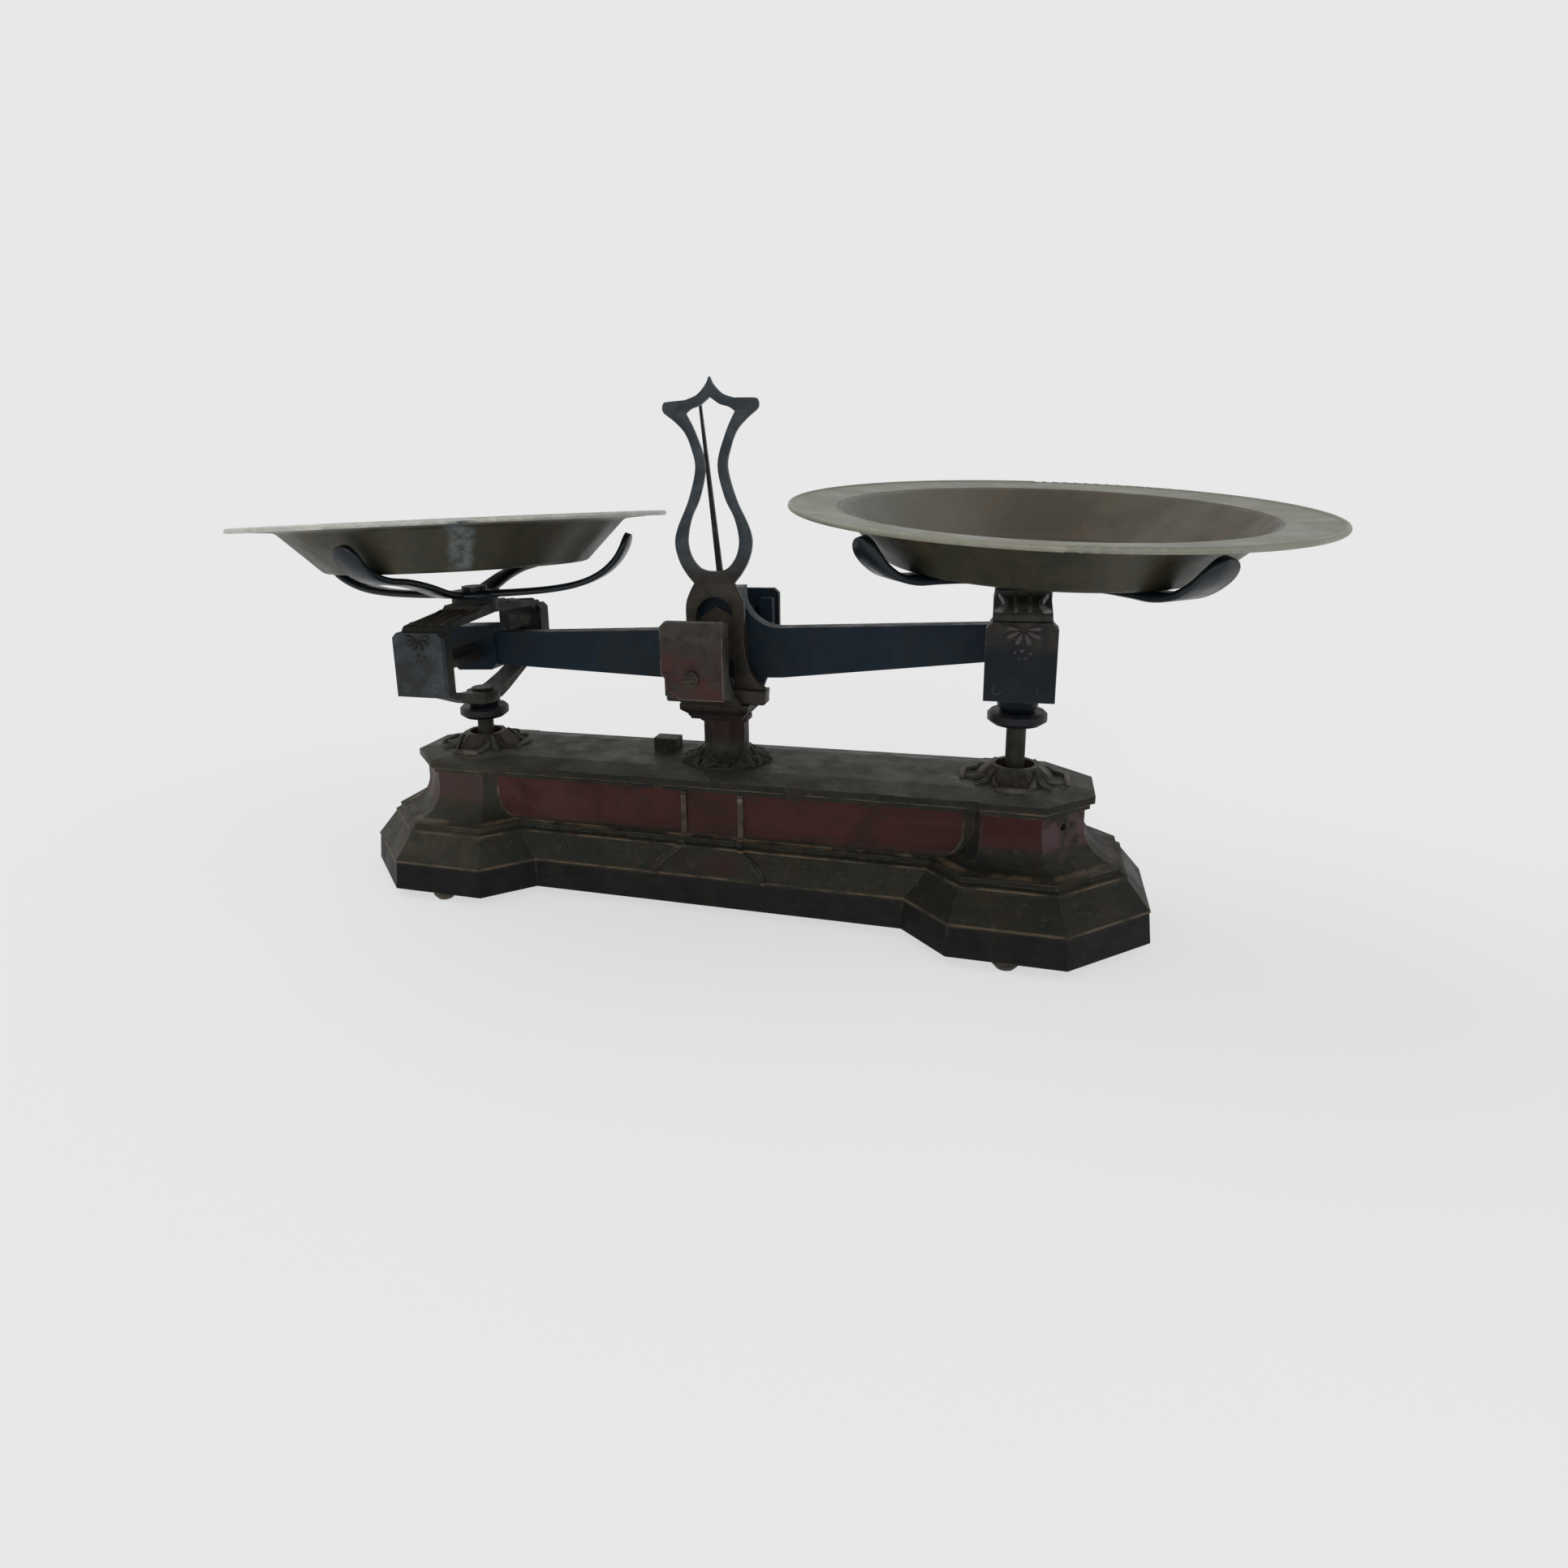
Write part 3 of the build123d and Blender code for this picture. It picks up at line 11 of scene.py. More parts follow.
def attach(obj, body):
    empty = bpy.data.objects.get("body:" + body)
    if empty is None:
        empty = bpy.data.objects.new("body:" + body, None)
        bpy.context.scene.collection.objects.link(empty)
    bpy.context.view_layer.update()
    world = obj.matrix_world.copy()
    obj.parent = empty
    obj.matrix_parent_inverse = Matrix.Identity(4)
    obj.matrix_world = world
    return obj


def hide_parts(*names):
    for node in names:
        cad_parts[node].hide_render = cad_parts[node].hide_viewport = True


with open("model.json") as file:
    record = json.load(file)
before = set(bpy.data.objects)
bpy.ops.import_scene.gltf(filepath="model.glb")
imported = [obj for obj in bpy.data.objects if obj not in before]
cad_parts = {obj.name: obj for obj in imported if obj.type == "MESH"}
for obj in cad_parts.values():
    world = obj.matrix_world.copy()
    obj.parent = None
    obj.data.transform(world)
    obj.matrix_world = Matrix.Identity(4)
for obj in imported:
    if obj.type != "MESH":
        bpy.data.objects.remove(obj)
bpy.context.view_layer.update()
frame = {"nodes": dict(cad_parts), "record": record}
nodes = frame["nodes"]
joints = {joint["name"]: joint for joint in frame["record"]["behaviour"]["joints"]}
mounts = {mount["name"]: mount for mount in frame["record"]["mounts"]}
left_knife = joints["left_carrier_swing"]["pos_m"]
right_knife = joints["right_carrier_swing"]["pos_m"]
pivot_level = joints["beam_tilt"]["pos_m"][2]

# The camera of the photograph: metres, degrees, millimetres, and the shift in shares of the picture
camera_place = (0.12309, -0.40560, 0.19158)
camera_yaw, camera_pitch, camera_roll = 18.837, 14.086, 1.827
camera_lens = 22.134
camera_sensor = 36
camera_shift = (0.0572, -0.04746)

# Light and floor
pale = 0.807                 # what the camera sees behind the object
floor_grey = (0.32, 0.32, 0.32)
floor_glow = 0.603
floor_half = 9               # half the floor's side, in metres
sky_light = (0.36, 0.36, 0.36)

# Name, direction, spread in degrees, power and colour
suns = (
    ("window", (-0.8, 0.2, 1.0), 50, 0.65, (1.0, 1.0, 1.0)),
    ("right", (1.0, -0.3, 0.8), 60, 0.35, (1.0, 1.0, 1.0)),
    ("front", (0.1, -1.0, 0.22), 40, 0.75, (1.0, 1.0, 1.0)),
)

# Directions and unit
mm = 0.001
down = Vector((0, 0, -1))
to_back = Vector((0, 1, 0))
to_front = Vector((0, -1, 0))

# The lyre, in millimetres except its place from front to back; heights are above the pivot
lyre_middle = -0.0126        # in metres
lyre_thickness = 3.2
lyre_edge = 0.35
lyre_foot_top = -20.0
lyre_foot = (45, 9, 6.4)     # across, from front to back, and tall
lyre_foot_edge = 1.2
lyre_leg_inner = 8.2
lyre_arch_level = 11.3

# The spiders, in millimetres except where said
bridge_top = 21.6            # top of a carrier's bridge above its knife, where the spider sits
spider_thickness = 2.8
left_arm_width = 13.0
right_arm_width = 16.0
left_lean = (-2.3, -1.5)     # turn about X, then about Y, in degrees
right_lean = (4.0, 3.3)
left_shift = (-0.004, -0.00147, 0)      # the arms' middle from the hub's, in metres
right_shift = (0.004, 0.00203, 0)

# Points of a spider's hub and arms, each a distance from the middle and a height
hub_profile = ((0.5, 0.1), (12.0, 0.1), (12.5, 0.6), (12.5, 2.2), (12.0, 2.7), (0.5, 2.7))
left_side_arm = ((8, 2.6), (24, 2.8), (42, 3.7), (56, 5.8), (66.5, 9.8), (73.5, 15.0), (77.8, 21.0),
                 (80.2, 27.2))
left_front_arm = ((8, 2.6), (18, 4.2), (32, 8.6), (46, 11.8), (59, 13.4), (68, 16.2), (74.5, 20.5),
                  (78, 25.0), (79, 28.2))
right_arm = ((8, 2.5), (22, 3.2), (40, 5.6), (54, 6.6), (64, 7.2), (72.5, 9.6), (79, 14.0), (83, 19.0),
             (84.4, 23.2))

# The rear cheek of the column, in metres
rear_cheek_widening = 1.08
rear_cheek_raised_above = 0.128
rear_cheek_rise = 0.0022
rear_cheek_edge = 0.0003

# Ornament of the base, in millimetres
leaf_level = 75              # above every leaf and lip; each drops onto the surface below
foot_leaf_start = 11.0
foot_leaf_angles = (2, 38, 70, 104, 142, 178, 214, 250, 284, 322)
foot_leaf_sizes = ((21.5, 1.5, 6.4), (19.5, 1.1, 5.2), (20.5, 1.3, 5.8))    # outer end, height and width
lip_away = 20.6              # from a boss's middle to each lip round it
lip_line = (-7.6, -4, 0, 4, 7.6)
lip_width = 3.4
lip_height = 2.0
rib_bead = (13.0, 26.2, 51.2)           # a bead's distance from the middle along X and Y, and its height
rib_bead_radius = 1.5

# Ornament of the carriers, in millimetres from the knife
cheek_start = 51.2           # just outside the outer face of a cheek
bridge_start = 20.0          # near the bridge's top
bridge_rib_x = 2.4
bridge_rib_line = (44, 36, 28, 20, 14)  # along Y, from the cheek inwards
palmette_x, palmette_z = 0.6, 9.8
palmette_height = 1.2

# Angle and length of each leaf of a palmette; place across, height and radius of each bead below it
palmette_leaves = ((-68, 6.4), (-112, 6.4), (-28, 6.6), (-152, 6.6), (8, 6.0), (172, 6.0))
cheek_beads = ((0.3, 2.4, 0.85), (3.2, 1.5, 0.8), (-2.0, 1.7, 0.55), (1.6, -0.2, 0.7), (-0.6, -0.4, 0.55))

# A scroll on the bridge: points across and from front to back, and the bead at its end
scroll_line = ((8.9, 15), (7.9, 20), (6.6, 26), (6.0, 32), (6.5, 37), (7.9, 41), (8.9, 43))
scroll_end = (8.2, 41.0)

# Heights on the base, in metres
plinth_top = 0.0165
slope_top = 0.0330
panel_bottom = 0.0332
panel_top = 0.0533
flare_top = 0.05525
slab_edge = 0.05775

# Height and half width of each gilt line, in metres
gilt_lines = ((0.0173, 0.00050), (0.0297, 0.00040), (0.0334, 0.00035), (0.0563, 0.00035))

# Distances from the middle of the base, in metres
rib_inner = 0.0117
rib_outer = 0.0144
panel_reach = 0.1110         # to the outer end of the red panels
end_reach = 0.1130           # to where the two ends begin
boss_reach = 0.125           # to each stem boss
panel_depth = 0.0254         # front to back, between the face of the panels and that of the ribs
panel_corner = 0.012         # radius of the rounding at a red panel's outer lower corner
panel_corner_middle = (0.0940, 0.0448)  # of that rounding: from the middle of the base, and its height

# Colours of the base
plinth_black = (0.0022, 0.0024, 0.0020)
plinth_blue = (0.0060, 0.0065, 0.0065)
slope_green = (0.0120, 0.0135, 0.0100)
slope_brown = (0.022, 0.018, 0.012)
flare_olive = (0.022, 0.020, 0.014)
flare_dark = (0.010, 0.0095, 0.0085)
flare_worn = (0.060, 0.052, 0.042)
# Painted light: a paler tone for the left end, as if lit from the left
left_painted_light = (0.060, 0.054, 0.040)
slab_side = (0.020, 0.018, 0.013)
# Dust on the slab, with painted light: darker on the left, paler on the right
slab_dust_shaded_left = (0.062, 0.060, 0.043)
slab_dust_lit_right = (0.078, 0.083, 0.066)
slab_dark = (0.024, 0.023, 0.015)
grime_green = (0.0090, 0.0120, 0.0090)
grime_brown = (0.026, 0.017, 0.010)
grime_pale = (0.050, 0.050, 0.040)
# Painted light: a paler red for the left panel
panel_left_lit = (0.066, 0.026, 0.024)
rib_brown = (0.070, 0.048, 0.040)
boss_brown = (0.034, 0.023, 0.019)
boss_pale = (0.105, 0.100, 0.080)
panel_red = (0.050, 0.0145, 0.0125)
panel_brown = (0.026, 0.0105, 0.0080)
waist_red = (0.038, 0.0090, 0.0090)
# Brown paint on the left end, made paler by painted light from the left
waist_left_brown_lit = (0.060, 0.036, 0.032)
waist_pink = (0.072, 0.040, 0.046)
gilt_worn = (0.120, 0.090, 0.060)
# Worn paint on the corners, also standing as painted highlights on the arrises
edge_wear_and_highlight = (0.090, 0.078, 0.058)


def make_camera():
    """The camera at the photograph's place, with its framing."""
    yaw, pitch, roll = radians(camera_yaw), radians(camera_pitch), radians(camera_roll)
    forward = Vector((-sin(yaw) * cos(pitch), cos(yaw) * cos(pitch), -sin(pitch)))
    right = Vector((cos(yaw), sin(yaw), 0))
    down = forward.cross(right)
    across = right * cos(roll) + down * sin(roll)
    below = down * cos(roll) - right * sin(roll)
    data = bpy.data.cameras.new("camera")
    data.sensor_width = camera_sensor
    data.lens = camera_lens
    data.shift_x, data.shift_y = camera_shift
    data.clip_start = 0.01
    camera = bpy.data.objects.new("camera", data)
    turn = Matrix((across, -below, -forward)).transposed()
    camera.matrix_world = Matrix.Translation(camera_place) @ turn.to_4x4()
    bpy.context.scene.collection.objects.link(camera)
    bpy.context.scene.camera = camera


class Nodes:
    """A short way to write a material's nodes."""

    def __init__(self, name):
        self.material = bpy.data.materials.new(name)
        self.material.use_nodes = True
        self.tree = self.material.node_tree
        self.tree.nodes.clear()
        self.out = self.tree.nodes.new("ShaderNodeOutputMaterial")
        self.shader = self.tree.nodes.new("ShaderNodeBsdfPrincipled")
        self.link(self.shader.outputs[0], self.out.inputs[0])
        self.place = self.tree.nodes.new("ShaderNodeTexCoord").outputs["Object"]

    def link(self, a, b):
        self.tree.links.new(a, b)

    def put(self, value, socket):
        """Set a socket to a number or colour, or link it."""
        if isinstance(value, bpy.types.NodeSocket):
            self.link(value, socket)
        elif isinstance(value, (tuple, list)) and len(value) == 3 and socket.type == "RGBA":
            socket.default_value = (*value, 1)
        else:
            socket.default_value = value

    def math(self, operation, a, b=0.0, clamp=False):
        node = self.tree.nodes.new("ShaderNodeMath")
        node.operation = operation
        node.use_clamp = clamp
        self.put(a, node.inputs[0])
        self.put(b, node.inputs[1])
        return node.outputs[0]

    def noise(self, scale, detail=4.0, rough=0.55, stretch=None, warp=0.0, source=None):
        """Noise between zero and one, at the place on the object or at another source."""
        node = self.tree.nodes.new("ShaderNodeTexNoise")
        node.inputs["Scale"].default_value = scale
        node.inputs["Detail"].default_value = detail
        node.inputs["Roughness"].default_value = rough
        node.inputs["Distortion"].default_value = warp
        if source is None:
            source = self.place
        if stretch:
            mapping = self.tree.nodes.new("ShaderNodeMapping")
            mapping.inputs["Scale"].default_value = stretch
            self.link(source, mapping.inputs["Vector"])
            source = mapping.outputs[0]
        self.link(source, node.inputs["Vector"])
        return node.outputs["Fac"]

    def ramp(self, value, low, high, start=0.0, end=1.0):
        """A smooth step from start to end as value goes from low to high."""
        node = self.tree.nodes.new("ShaderNodeMapRange")
        node.interpolation_type = "SMOOTHSTEP"
        node.inputs["From Min"].default_value = low
        node.inputs["From Max"].default_value = high
        node.inputs["To Min"].default_value = start
        node.inputs["To Max"].default_value = end
        self.link(value, node.inputs["Value"])
        return node.outputs[0]

    def above(self, value, level, soft):
        """One where value is more than level, with an edge as wide as twice soft."""
        return self.ramp(value, level - soft, level + soft)

    def under(self, value, level, soft):
        """One where value is less than level, with an edge as wide as twice soft."""
        return self.ramp(value, level + soft, level - soft)

    def mix(self, factor, a, b):
        node = self.tree.nodes.new("ShaderNodeMix")
        node.data_type = "RGBA"
        self.put(factor, node.inputs[0])
        self.put(a, node.inputs[6])
        self.put(b, node.inputs[7])
        return node.outputs[2]

    def split(self, vector):
        node = self.tree.nodes.new("ShaderNodeSeparateXYZ")
        self.link(vector, node.inputs[0])
        return node.outputs

    def normal(self):
        return self.tree.nodes.new("ShaderNodeNewGeometry").outputs["Normal"]

    def upward(self, low=0.4, high=0.85):
        """One on faces that look up, where dust lies."""
        return self.ramp(self.split(self.normal())[2], low, high)

    def patches(self, scale, low=0.4, high=0.62, warp=0.7):
        """Cloudy patches between zero and one."""
        return self.ramp(self.noise(scale, 6, 0.65, warp=warp), low, high)

    def wander(self, value, scale, detail, reach):
        """A value moved up and down by noise, by at most half of reach."""
        swing = self.math("SUBTRACT", self.noise(scale, detail), 0.5)
        return self.math("ADD", value, self.math("MULTIPLY", swing, reach))

    def length(self, a, b):
        """The length of two sides at a right angle."""
        return self.math("SQRT", self.math("ADD", self.math("MULTIPLY", a, a), self.math("MULTIPLY", b, b)))

    def all_of(self, *masks):
        """Several masks multiplied."""
        value = masks[0]
        for mask in masks[1:]:
            value = self.math("MULTIPLY", value, mask)
        return value

    def any_of(self, *masks):
        """The strongest of several masks."""
        value = masks[0]
        for mask in masks[1:]:
            value = self.math("MAXIMUM", value, mask)
        return value

    def local(self, place, turn):
        """The point measured in a frame that was moved and turned."""
        node = self.tree.nodes.new("ShaderNodeMapping")
        node.vector_type = "TEXTURE"
        node.inputs["Location"].default_value = place
        node.inputs["Rotation"].default_value = turn
        self.link(self.place, node.inputs["Vector"])
        return node.outputs[0]

    def join(self, x, y, z):
        node = self.tree.nodes.new("ShaderNodeCombineXYZ")
        for value, socket in zip((x, y, z), node.inputs):
            self.put(value, socket)
        return node.outputs[0]

    def edges(self, radius, low=0.02, high=0.2):
        """One near sharp edges, zero on flat faces."""
        bevel = self.tree.nodes.new("ShaderNodeBevel")
        bevel.samples = 4
        bevel.inputs["Radius"].default_value = radius
        dot = self.tree.nodes.new("ShaderNodeVectorMath")
        dot.operation = "DOT_PRODUCT"
        self.link(bevel.outputs[0], dot.inputs[0])
        self.link(self.normal(), dot.inputs[1])
        return self.ramp(self.math("SUBTRACT", 1.0, dot.outputs["Value"]), low, high)

    def band(self, value, middle, half, soft):
        """One where value is within half of middle."""
        away = self.math("ABSOLUTE", self.math("SUBTRACT", value, middle))
        return self.ramp(away, half - soft, half + soft, 1.0, 0.0)

    def bump(self, height, strength, distance):
        node = self.tree.nodes.new("ShaderNodeBump")
        node.inputs["Strength"].default_value = strength
        node.inputs["Distance"].default_value = distance
        self.link(height, node.inputs["Height"])
        self.link(node.outputs[0], self.shader.inputs["Normal"])

    def finish(self, colour, roughness, metallic=0.0, specular=0.5):
        self.put(colour, self.shader.inputs["Base Color"])
        self.put(roughness, self.shader.inputs["Roughness"])
        self.put(metallic, self.shader.inputs["Metallic"])
        self.shader.inputs["Specular IOR Level"].default_value = specular
        return self.material


def worn(name, base, second, roughness, metallic=0.0, specular=0.12, edge=None, wear=(0.42, 0.6), dust=None,
         tint=None, grain=0.5, radius=0.0006):
    """Old paint or metal: colours in patches, dust on top, worn bright edges and a fine grain."""
    n = Nodes(name)
    patches = n.patches(75, 0.38, 0.64)
    tone = n.mix(patches, base, second)
    if tint:
        stained = n.all_of(n.patches(34, 0.46, 0.60, 1.0), n.ramp(n.noise(210, 4), 0.3, 0.6, 0.4, 0.95))
        tone = n.mix(stained, tone, tint)
    if dust:
        settled = n.all_of(n.upward(), n.ramp(n.noise(150, 5), 0.3, 0.6, 0.35, 1.0))
        tone = n.mix(settled, tone, dust)
    if edge:
        scratch = n.all_of(n.edges(radius), n.ramp(n.noise(260, 3), *wear))
        tone = n.mix(scratch, tone, edge)
    fine = n.noise(900, 5, 0.6)
    rough = n.ramp(n.noise(140, 4), 0.2, 0.8, roughness - 0.1, roughness + 0.12)
    n.bump(n.math("ADD", fine, n.math("MULTIPLY", patches, 0.6)), grain, 0.0002)
    return n.finish(tone, rough, metallic, specular)


def base_material():
    """The base: dark green-black paint, red panels, thin gilt lines, dusty slab and worn edges; painted
    light makes the left end paler and the slab paler to the right, and the worn corners double as painted
    highlights.
    """
    n = Nodes("base_paint")
    x, y, z = n.split(n.place)
    face_y, face_z = n.math("ABSOLUTE", n.split(n.normal())[1]), n.split(n.normal())[2]
    far = n.math("ABSOLUTE", x)
    depth = n.math("ABSOLUTE", y)
    clouds = n.patches(42, 0.36, 0.66)
    broken = n.ramp(n.noise(130, 4), 0.36, 0.6)

    # Bands of height
    tone = n.mix(clouds, plinth_black, plinth_blue)
    tone = n.mix(n.above(z, plinth_top, 0.0015), tone, n.mix(clouds, slope_green, slope_brown))
    tone = n.mix(n.above(z, slope_top, 0.0010), tone, n.mix(clouds, flare_olive, flare_dark))
    tone = n.mix(n.above(z, flare_top, 0.00075), tone, n.mix(clouds, slab_side, flare_dark))

    # Grime, thinner on the plinth
    grimy = n.ramp(z, plinth_top - 0.0015, plinth_top + 0.0015, 0.3, 1.0)
    streaks = n.noise(95, 6, 0.7, stretch=(1, 1, 4))
    tone = n.mix(n.all_of(n.ramp(streaks, 0.42, 0.60, 0.0, 0.8), grimy), tone, grime_green)
    tone = n.mix(n.all_of(n.patches(95, 0.50, 0.66, 0.0), 0.55, grimy), tone, grime_brown)
    tone = n.mix(n.all_of(n.ramp(n.noise(330, 6, 0.75), 0.54, 0.70, 0.0, 0.55), grimy), tone, grime_pale)

    # Beige wear on the flares of the two ends, painted light making the left end paler low down, and a
    # reddish tint between the ribs
    at_end = n.ramp(far, 0.128, 0.150)
    flare = n.all_of(n.ramp(z, 0.032, 0.036), n.ramp(z, 0.055, 0.052))
    tone = n.mix(n.all_of(flare, at_end, n.patches(60, 0.40, 0.60), broken, 0.55), tone, flare_worn)
    # Painted light: the left end is made paler, as if lit from the left
    left_lit_mask = n.all_of(n.ramp(x, -0.060, -0.150), n.ramp(z, 0.016, 0.019),
                        n.ramp(clouds, 0.0, 1.0, 0.35, 0.8))
    tone = n.mix(left_lit_mask, tone, left_painted_light)
    between = n.all_of(n.ramp(far, 0.0165, 0.0150), n.ramp(z, 0.0185, 0.0200), n.ramp(z, 0.0275, 0.0265))
    tone = n.mix(n.all_of(between, n.ramp(clouds, 0.0, 1.0, 0.25, 0.8)), tone, panel_brown)

    # Red panels on the middle, each with its outer lower corner rounded
    corner_reach, corner_height = panel_corner_middle
    across = n.math("MAXIMUM", n.math("SUBTRACT", far, corner_reach), 0.0)
    below = n.math("MAXIMUM", n.math("SUBTRACT", corner_height, z), 0.0)
    outside = n.math("SUBTRACT", n.length(across, below), panel_corner)
    below_top = n.under(z, panel_top, 0.0003)
    on_panel = n.under(depth, panel_depth, 0.0002)
    panel_face = n.all_of(on_panel, n.ramp(face_y, 0.7, 0.9), below_top)
    panel_end = n.all_of(n.under(outside, 0.0, 0.0002), n.under(far, panel_reach, 0.0005),
                         n.above(far, rib_outer, 0.0001))
    panel_middle = n.all_of(n.under(far, rib_inner, 0.0001), n.above(z, panel_bottom, 0.0002))
    red = n.mix(n.patches(28, 0.35, 0.65, 1.2), panel_red, panel_brown)
    red = n.mix(n.all_of(n.ramp(z, 0.040, 0.033), n.ramp(clouds, 0.0, 1.0, 0.2, 0.7)), red, flare_dark)
    red = n.mix(n.all_of(n.patches(130, 0.50, 0.64), 0.6), red, grime_brown)
    # Painted light: the red of the left panel is made paler, as if lit from the left
    red = n.mix(n.all_of(n.ramp(x, -0.02, -0.10), n.patches(60, 0.36, 0.60), 0.7), red, panel_left_lit)
    tone = n.mix(n.all_of(panel_face, n.any_of(panel_end, panel_middle)), tone, red)

    # The two ribs, with the bare brown of the casting showing
    rib = n.all_of(n.ramp(depth, panel_depth - 0.0002, panel_depth + 0.0001), n.ramp(z, 0.033, 0.035),
                   below_top, n.ramp(far, 0.0160, 0.0150))
    tone = n.mix(n.all_of(rib, n.ramp(n.noise(160, 4), 0.3, 0.6, 0.45, 1.0)), tone, rib_brown)

    # Red on the upright faces of the right end, brown made paler by painted light on those of the left end;
    # paler on their slanting faces
    upright = n.all_of(n.ramp(z, 0.0385, 0.0420), n.ramp(z, 0.0542, 0.0536), n.above(far, end_reach, 0.0005))
    waist = n.mix(n.ramp(x, 0.05, -0.05), waist_red, waist_left_brown_lit)
    facing = n.all_of(upright, n.ramp(face_y, 0.85, 0.95), n.ramp(clouds, 0.0, 1.0, 0.95, 0.6))
    tone = n.mix(facing, tone, waist)
    slanting = n.band(face_y, 0.7, 0.12, 0.04)
    tone = n.mix(n.all_of(upright, slanting, n.patches(70, 0.38, 0.56)), tone, waist_pink)

    # Dusty top, with painted light: darker towards the left and paler towards the right
    tint = n.mix(n.ramp(x, -0.15, 0.16), slab_dust_shaded_left, slab_dust_lit_right)
    top = n.mix(n.all_of(n.patches(55, 0.40, 0.62), 0.45), tint, slab_dark)
    top = n.mix(n.all_of(n.patches(120, 0.52, 0.68), 0.5), top, grime_brown)
    tone = n.mix(n.all_of(n.above(z, slab_edge, 0.00075), n.ramp(face_z, 0.45, 0.9)), tone, top)

    # Brown-red faces on the stem bosses, paler patches round them
    round_boss = n.math("SUBTRACT", far, boss_reach)
    from_boss = n.length(round_boss, y)
    boss = n.all_of(n.ramp(from_boss, 0.0185, 0.0175), n.ramp(z, 0.0622, 0.0626), n.patches(170, 0.36, 0.56))
    tone = n.mix(n.all_of(boss, n.ramp(face_z, 0.92, 0.85)), tone, boss_brown)
    ground = n.all_of(n.band(from_boss, 0.0225, 0.0045, 0.0015), n.ramp(z, 0.060, 0.062),
                      n.patches(190, 0.46, 0.60))
    tone = n.mix(ground, tone, boss_pale)

    # Gilt lines, and worn corners that are also painted highlights along the arrises
    lines = n.any_of(*[n.band(z, level, half_width, 0.0002) for level, half_width in gilt_lines])
    arc = n.all_of(n.band(outside, 0.0004, 0.00045, 0.0002), n.ramp(z, 0.0500, 0.0470),
                   on_panel, n.ramp(far, 0.0920, 0.0950))
    gilt = n.all_of(n.any_of(lines, arc), n.ramp(n.noise(75, 4), 0.38, 0.60, 0.08, 0.9))
    tone = n.mix(gilt, tone, gilt_worn)
    corner = n.all_of(n.edges(0.0008, 0.012, 0.10), n.ramp(n.noise(110, 4), 0.42, 0.64, 0.0, 0.9))
    tone = n.mix(corner, tone, edge_wear_and_highlight)

    # Cast grain, and a stippled ground round the column
    away = n.length(x, y)
    dots = n.tree.nodes.new("ShaderNodeTexVoronoi")
    dots.inputs["Scale"].default_value = 520
    n.link(n.place, dots.inputs["Vector"])
    stipple = n.all_of(n.ramp(dots.outputs["Distance"], 0.45, 0.15), n.ramp(away, 0.040, 0.034),
                       n.ramp(z, 0.058, 0.060))
    height = n.math("ADD", n.noise(620, 6, 0.65), n.math("MULTIPLY", n.noise(70, 3), 1.6))
    n.bump(n.math("ADD", height, n.math("MULTIPLY", stipple, 1.6)), 0.55, 0.00035)
    rough = n.ramp(n.noise(90, 4), 0.25, 0.75, 0.42, 0.66)
    return n.finish(tone, rough, 0.0, 0.12)


def column_material():
    """The column: dull red shaft, dark capital, dark navy on the rear arm of its fork."""
    n = Nodes("column_paint")
    _, y, z = n.split(n.place)
    height = n.wander(z, 120, 4, 0.008)
    shaft = n.mix(n.patches(80, 0.36, 0.62), (0.036, 0.0150, 0.0150), (0.013, 0.0092, 0.0090))
    shaft = n.mix(n.ramp(height, 0.0760, 0.0700), shaft, (0.029, 0.027, 0.020))
    capital = n.mix(n.patches(130), (0.0085, 0.0070, 0.0065), (0.0180, 0.0120, 0.0110))
    tone = n.mix(n.ramp(height, 0.0825, 0.0850), shaft, capital)
    olive = n.mix(n.patches(110), (0.036, 0.033, 0.024), (0.018, 0.017, 0.013))
    tone = n.mix(n.all_of(n.ramp(z, 0.0900, 0.0915), n.ramp(y, 0.012, 0.010)), tone, olive)
    rear_arm = n.all_of(n.ramp(z, 0.0925, 0.0935), n.ramp(y, 0.012, 0.014))
    tone = n.mix(rear_arm, tone, (0.0105, 0.0210, 0.0350))
    worn_edge = n.all_of(n.edges(0.0006), n.ramp(n.noise(260, 3), 0.48, 0.64), n.ramp(y, 0.014, 0.012))
    tone = n.mix(worn_edge, tone, (0.060, 0.046, 0.036))
    n.bump(n.noise(700, 6, 0.65), 0.5, 0.00025)
    return n.finish(tone, n.ramp(n.noise(120), 0.3, 0.7, 0.42, 0.62), 0.0, 0.12)


def carrier_cheek_material(name, level, cold, second):
    """A cheek of a carrier: blue-black, mottled brown and olive round its top."""
    n = Nodes(name)
    height = n.wander(n.split(n.place)[2], 110, 5, 0.016)
    tone = n.mix(n.patches(80), cold, second)
    high = n.mix(n.patches(180, 0.42, 0.58), (0.030, 0.027, 0.021), (0.015, 0.019, 0.016))
    high = n.mix(n.all_of(n.patches(140, 0.50, 0.62), 0.7), high, (0.034, 0.020, 0.019))
    tone = n.mix(n.ramp(height, level + 0.001, level + 0.007, 0.0, 0.85), tone, high)
    worn_edge = n.all_of(n.edges(0.0007), n.ramp(n.noise(220, 3), 0.40, 0.58))
    tone = n.mix(worn_edge, tone, (0.060, 0.062, 0.058))
    n.bump(n.noise(800, 5, 0.6), 0.5, 0.0002)
    return n.finish(tone, n.ramp(n.noise(120), 0.3, 0.7, 0.42, 0.6), 0.0, 0.12)


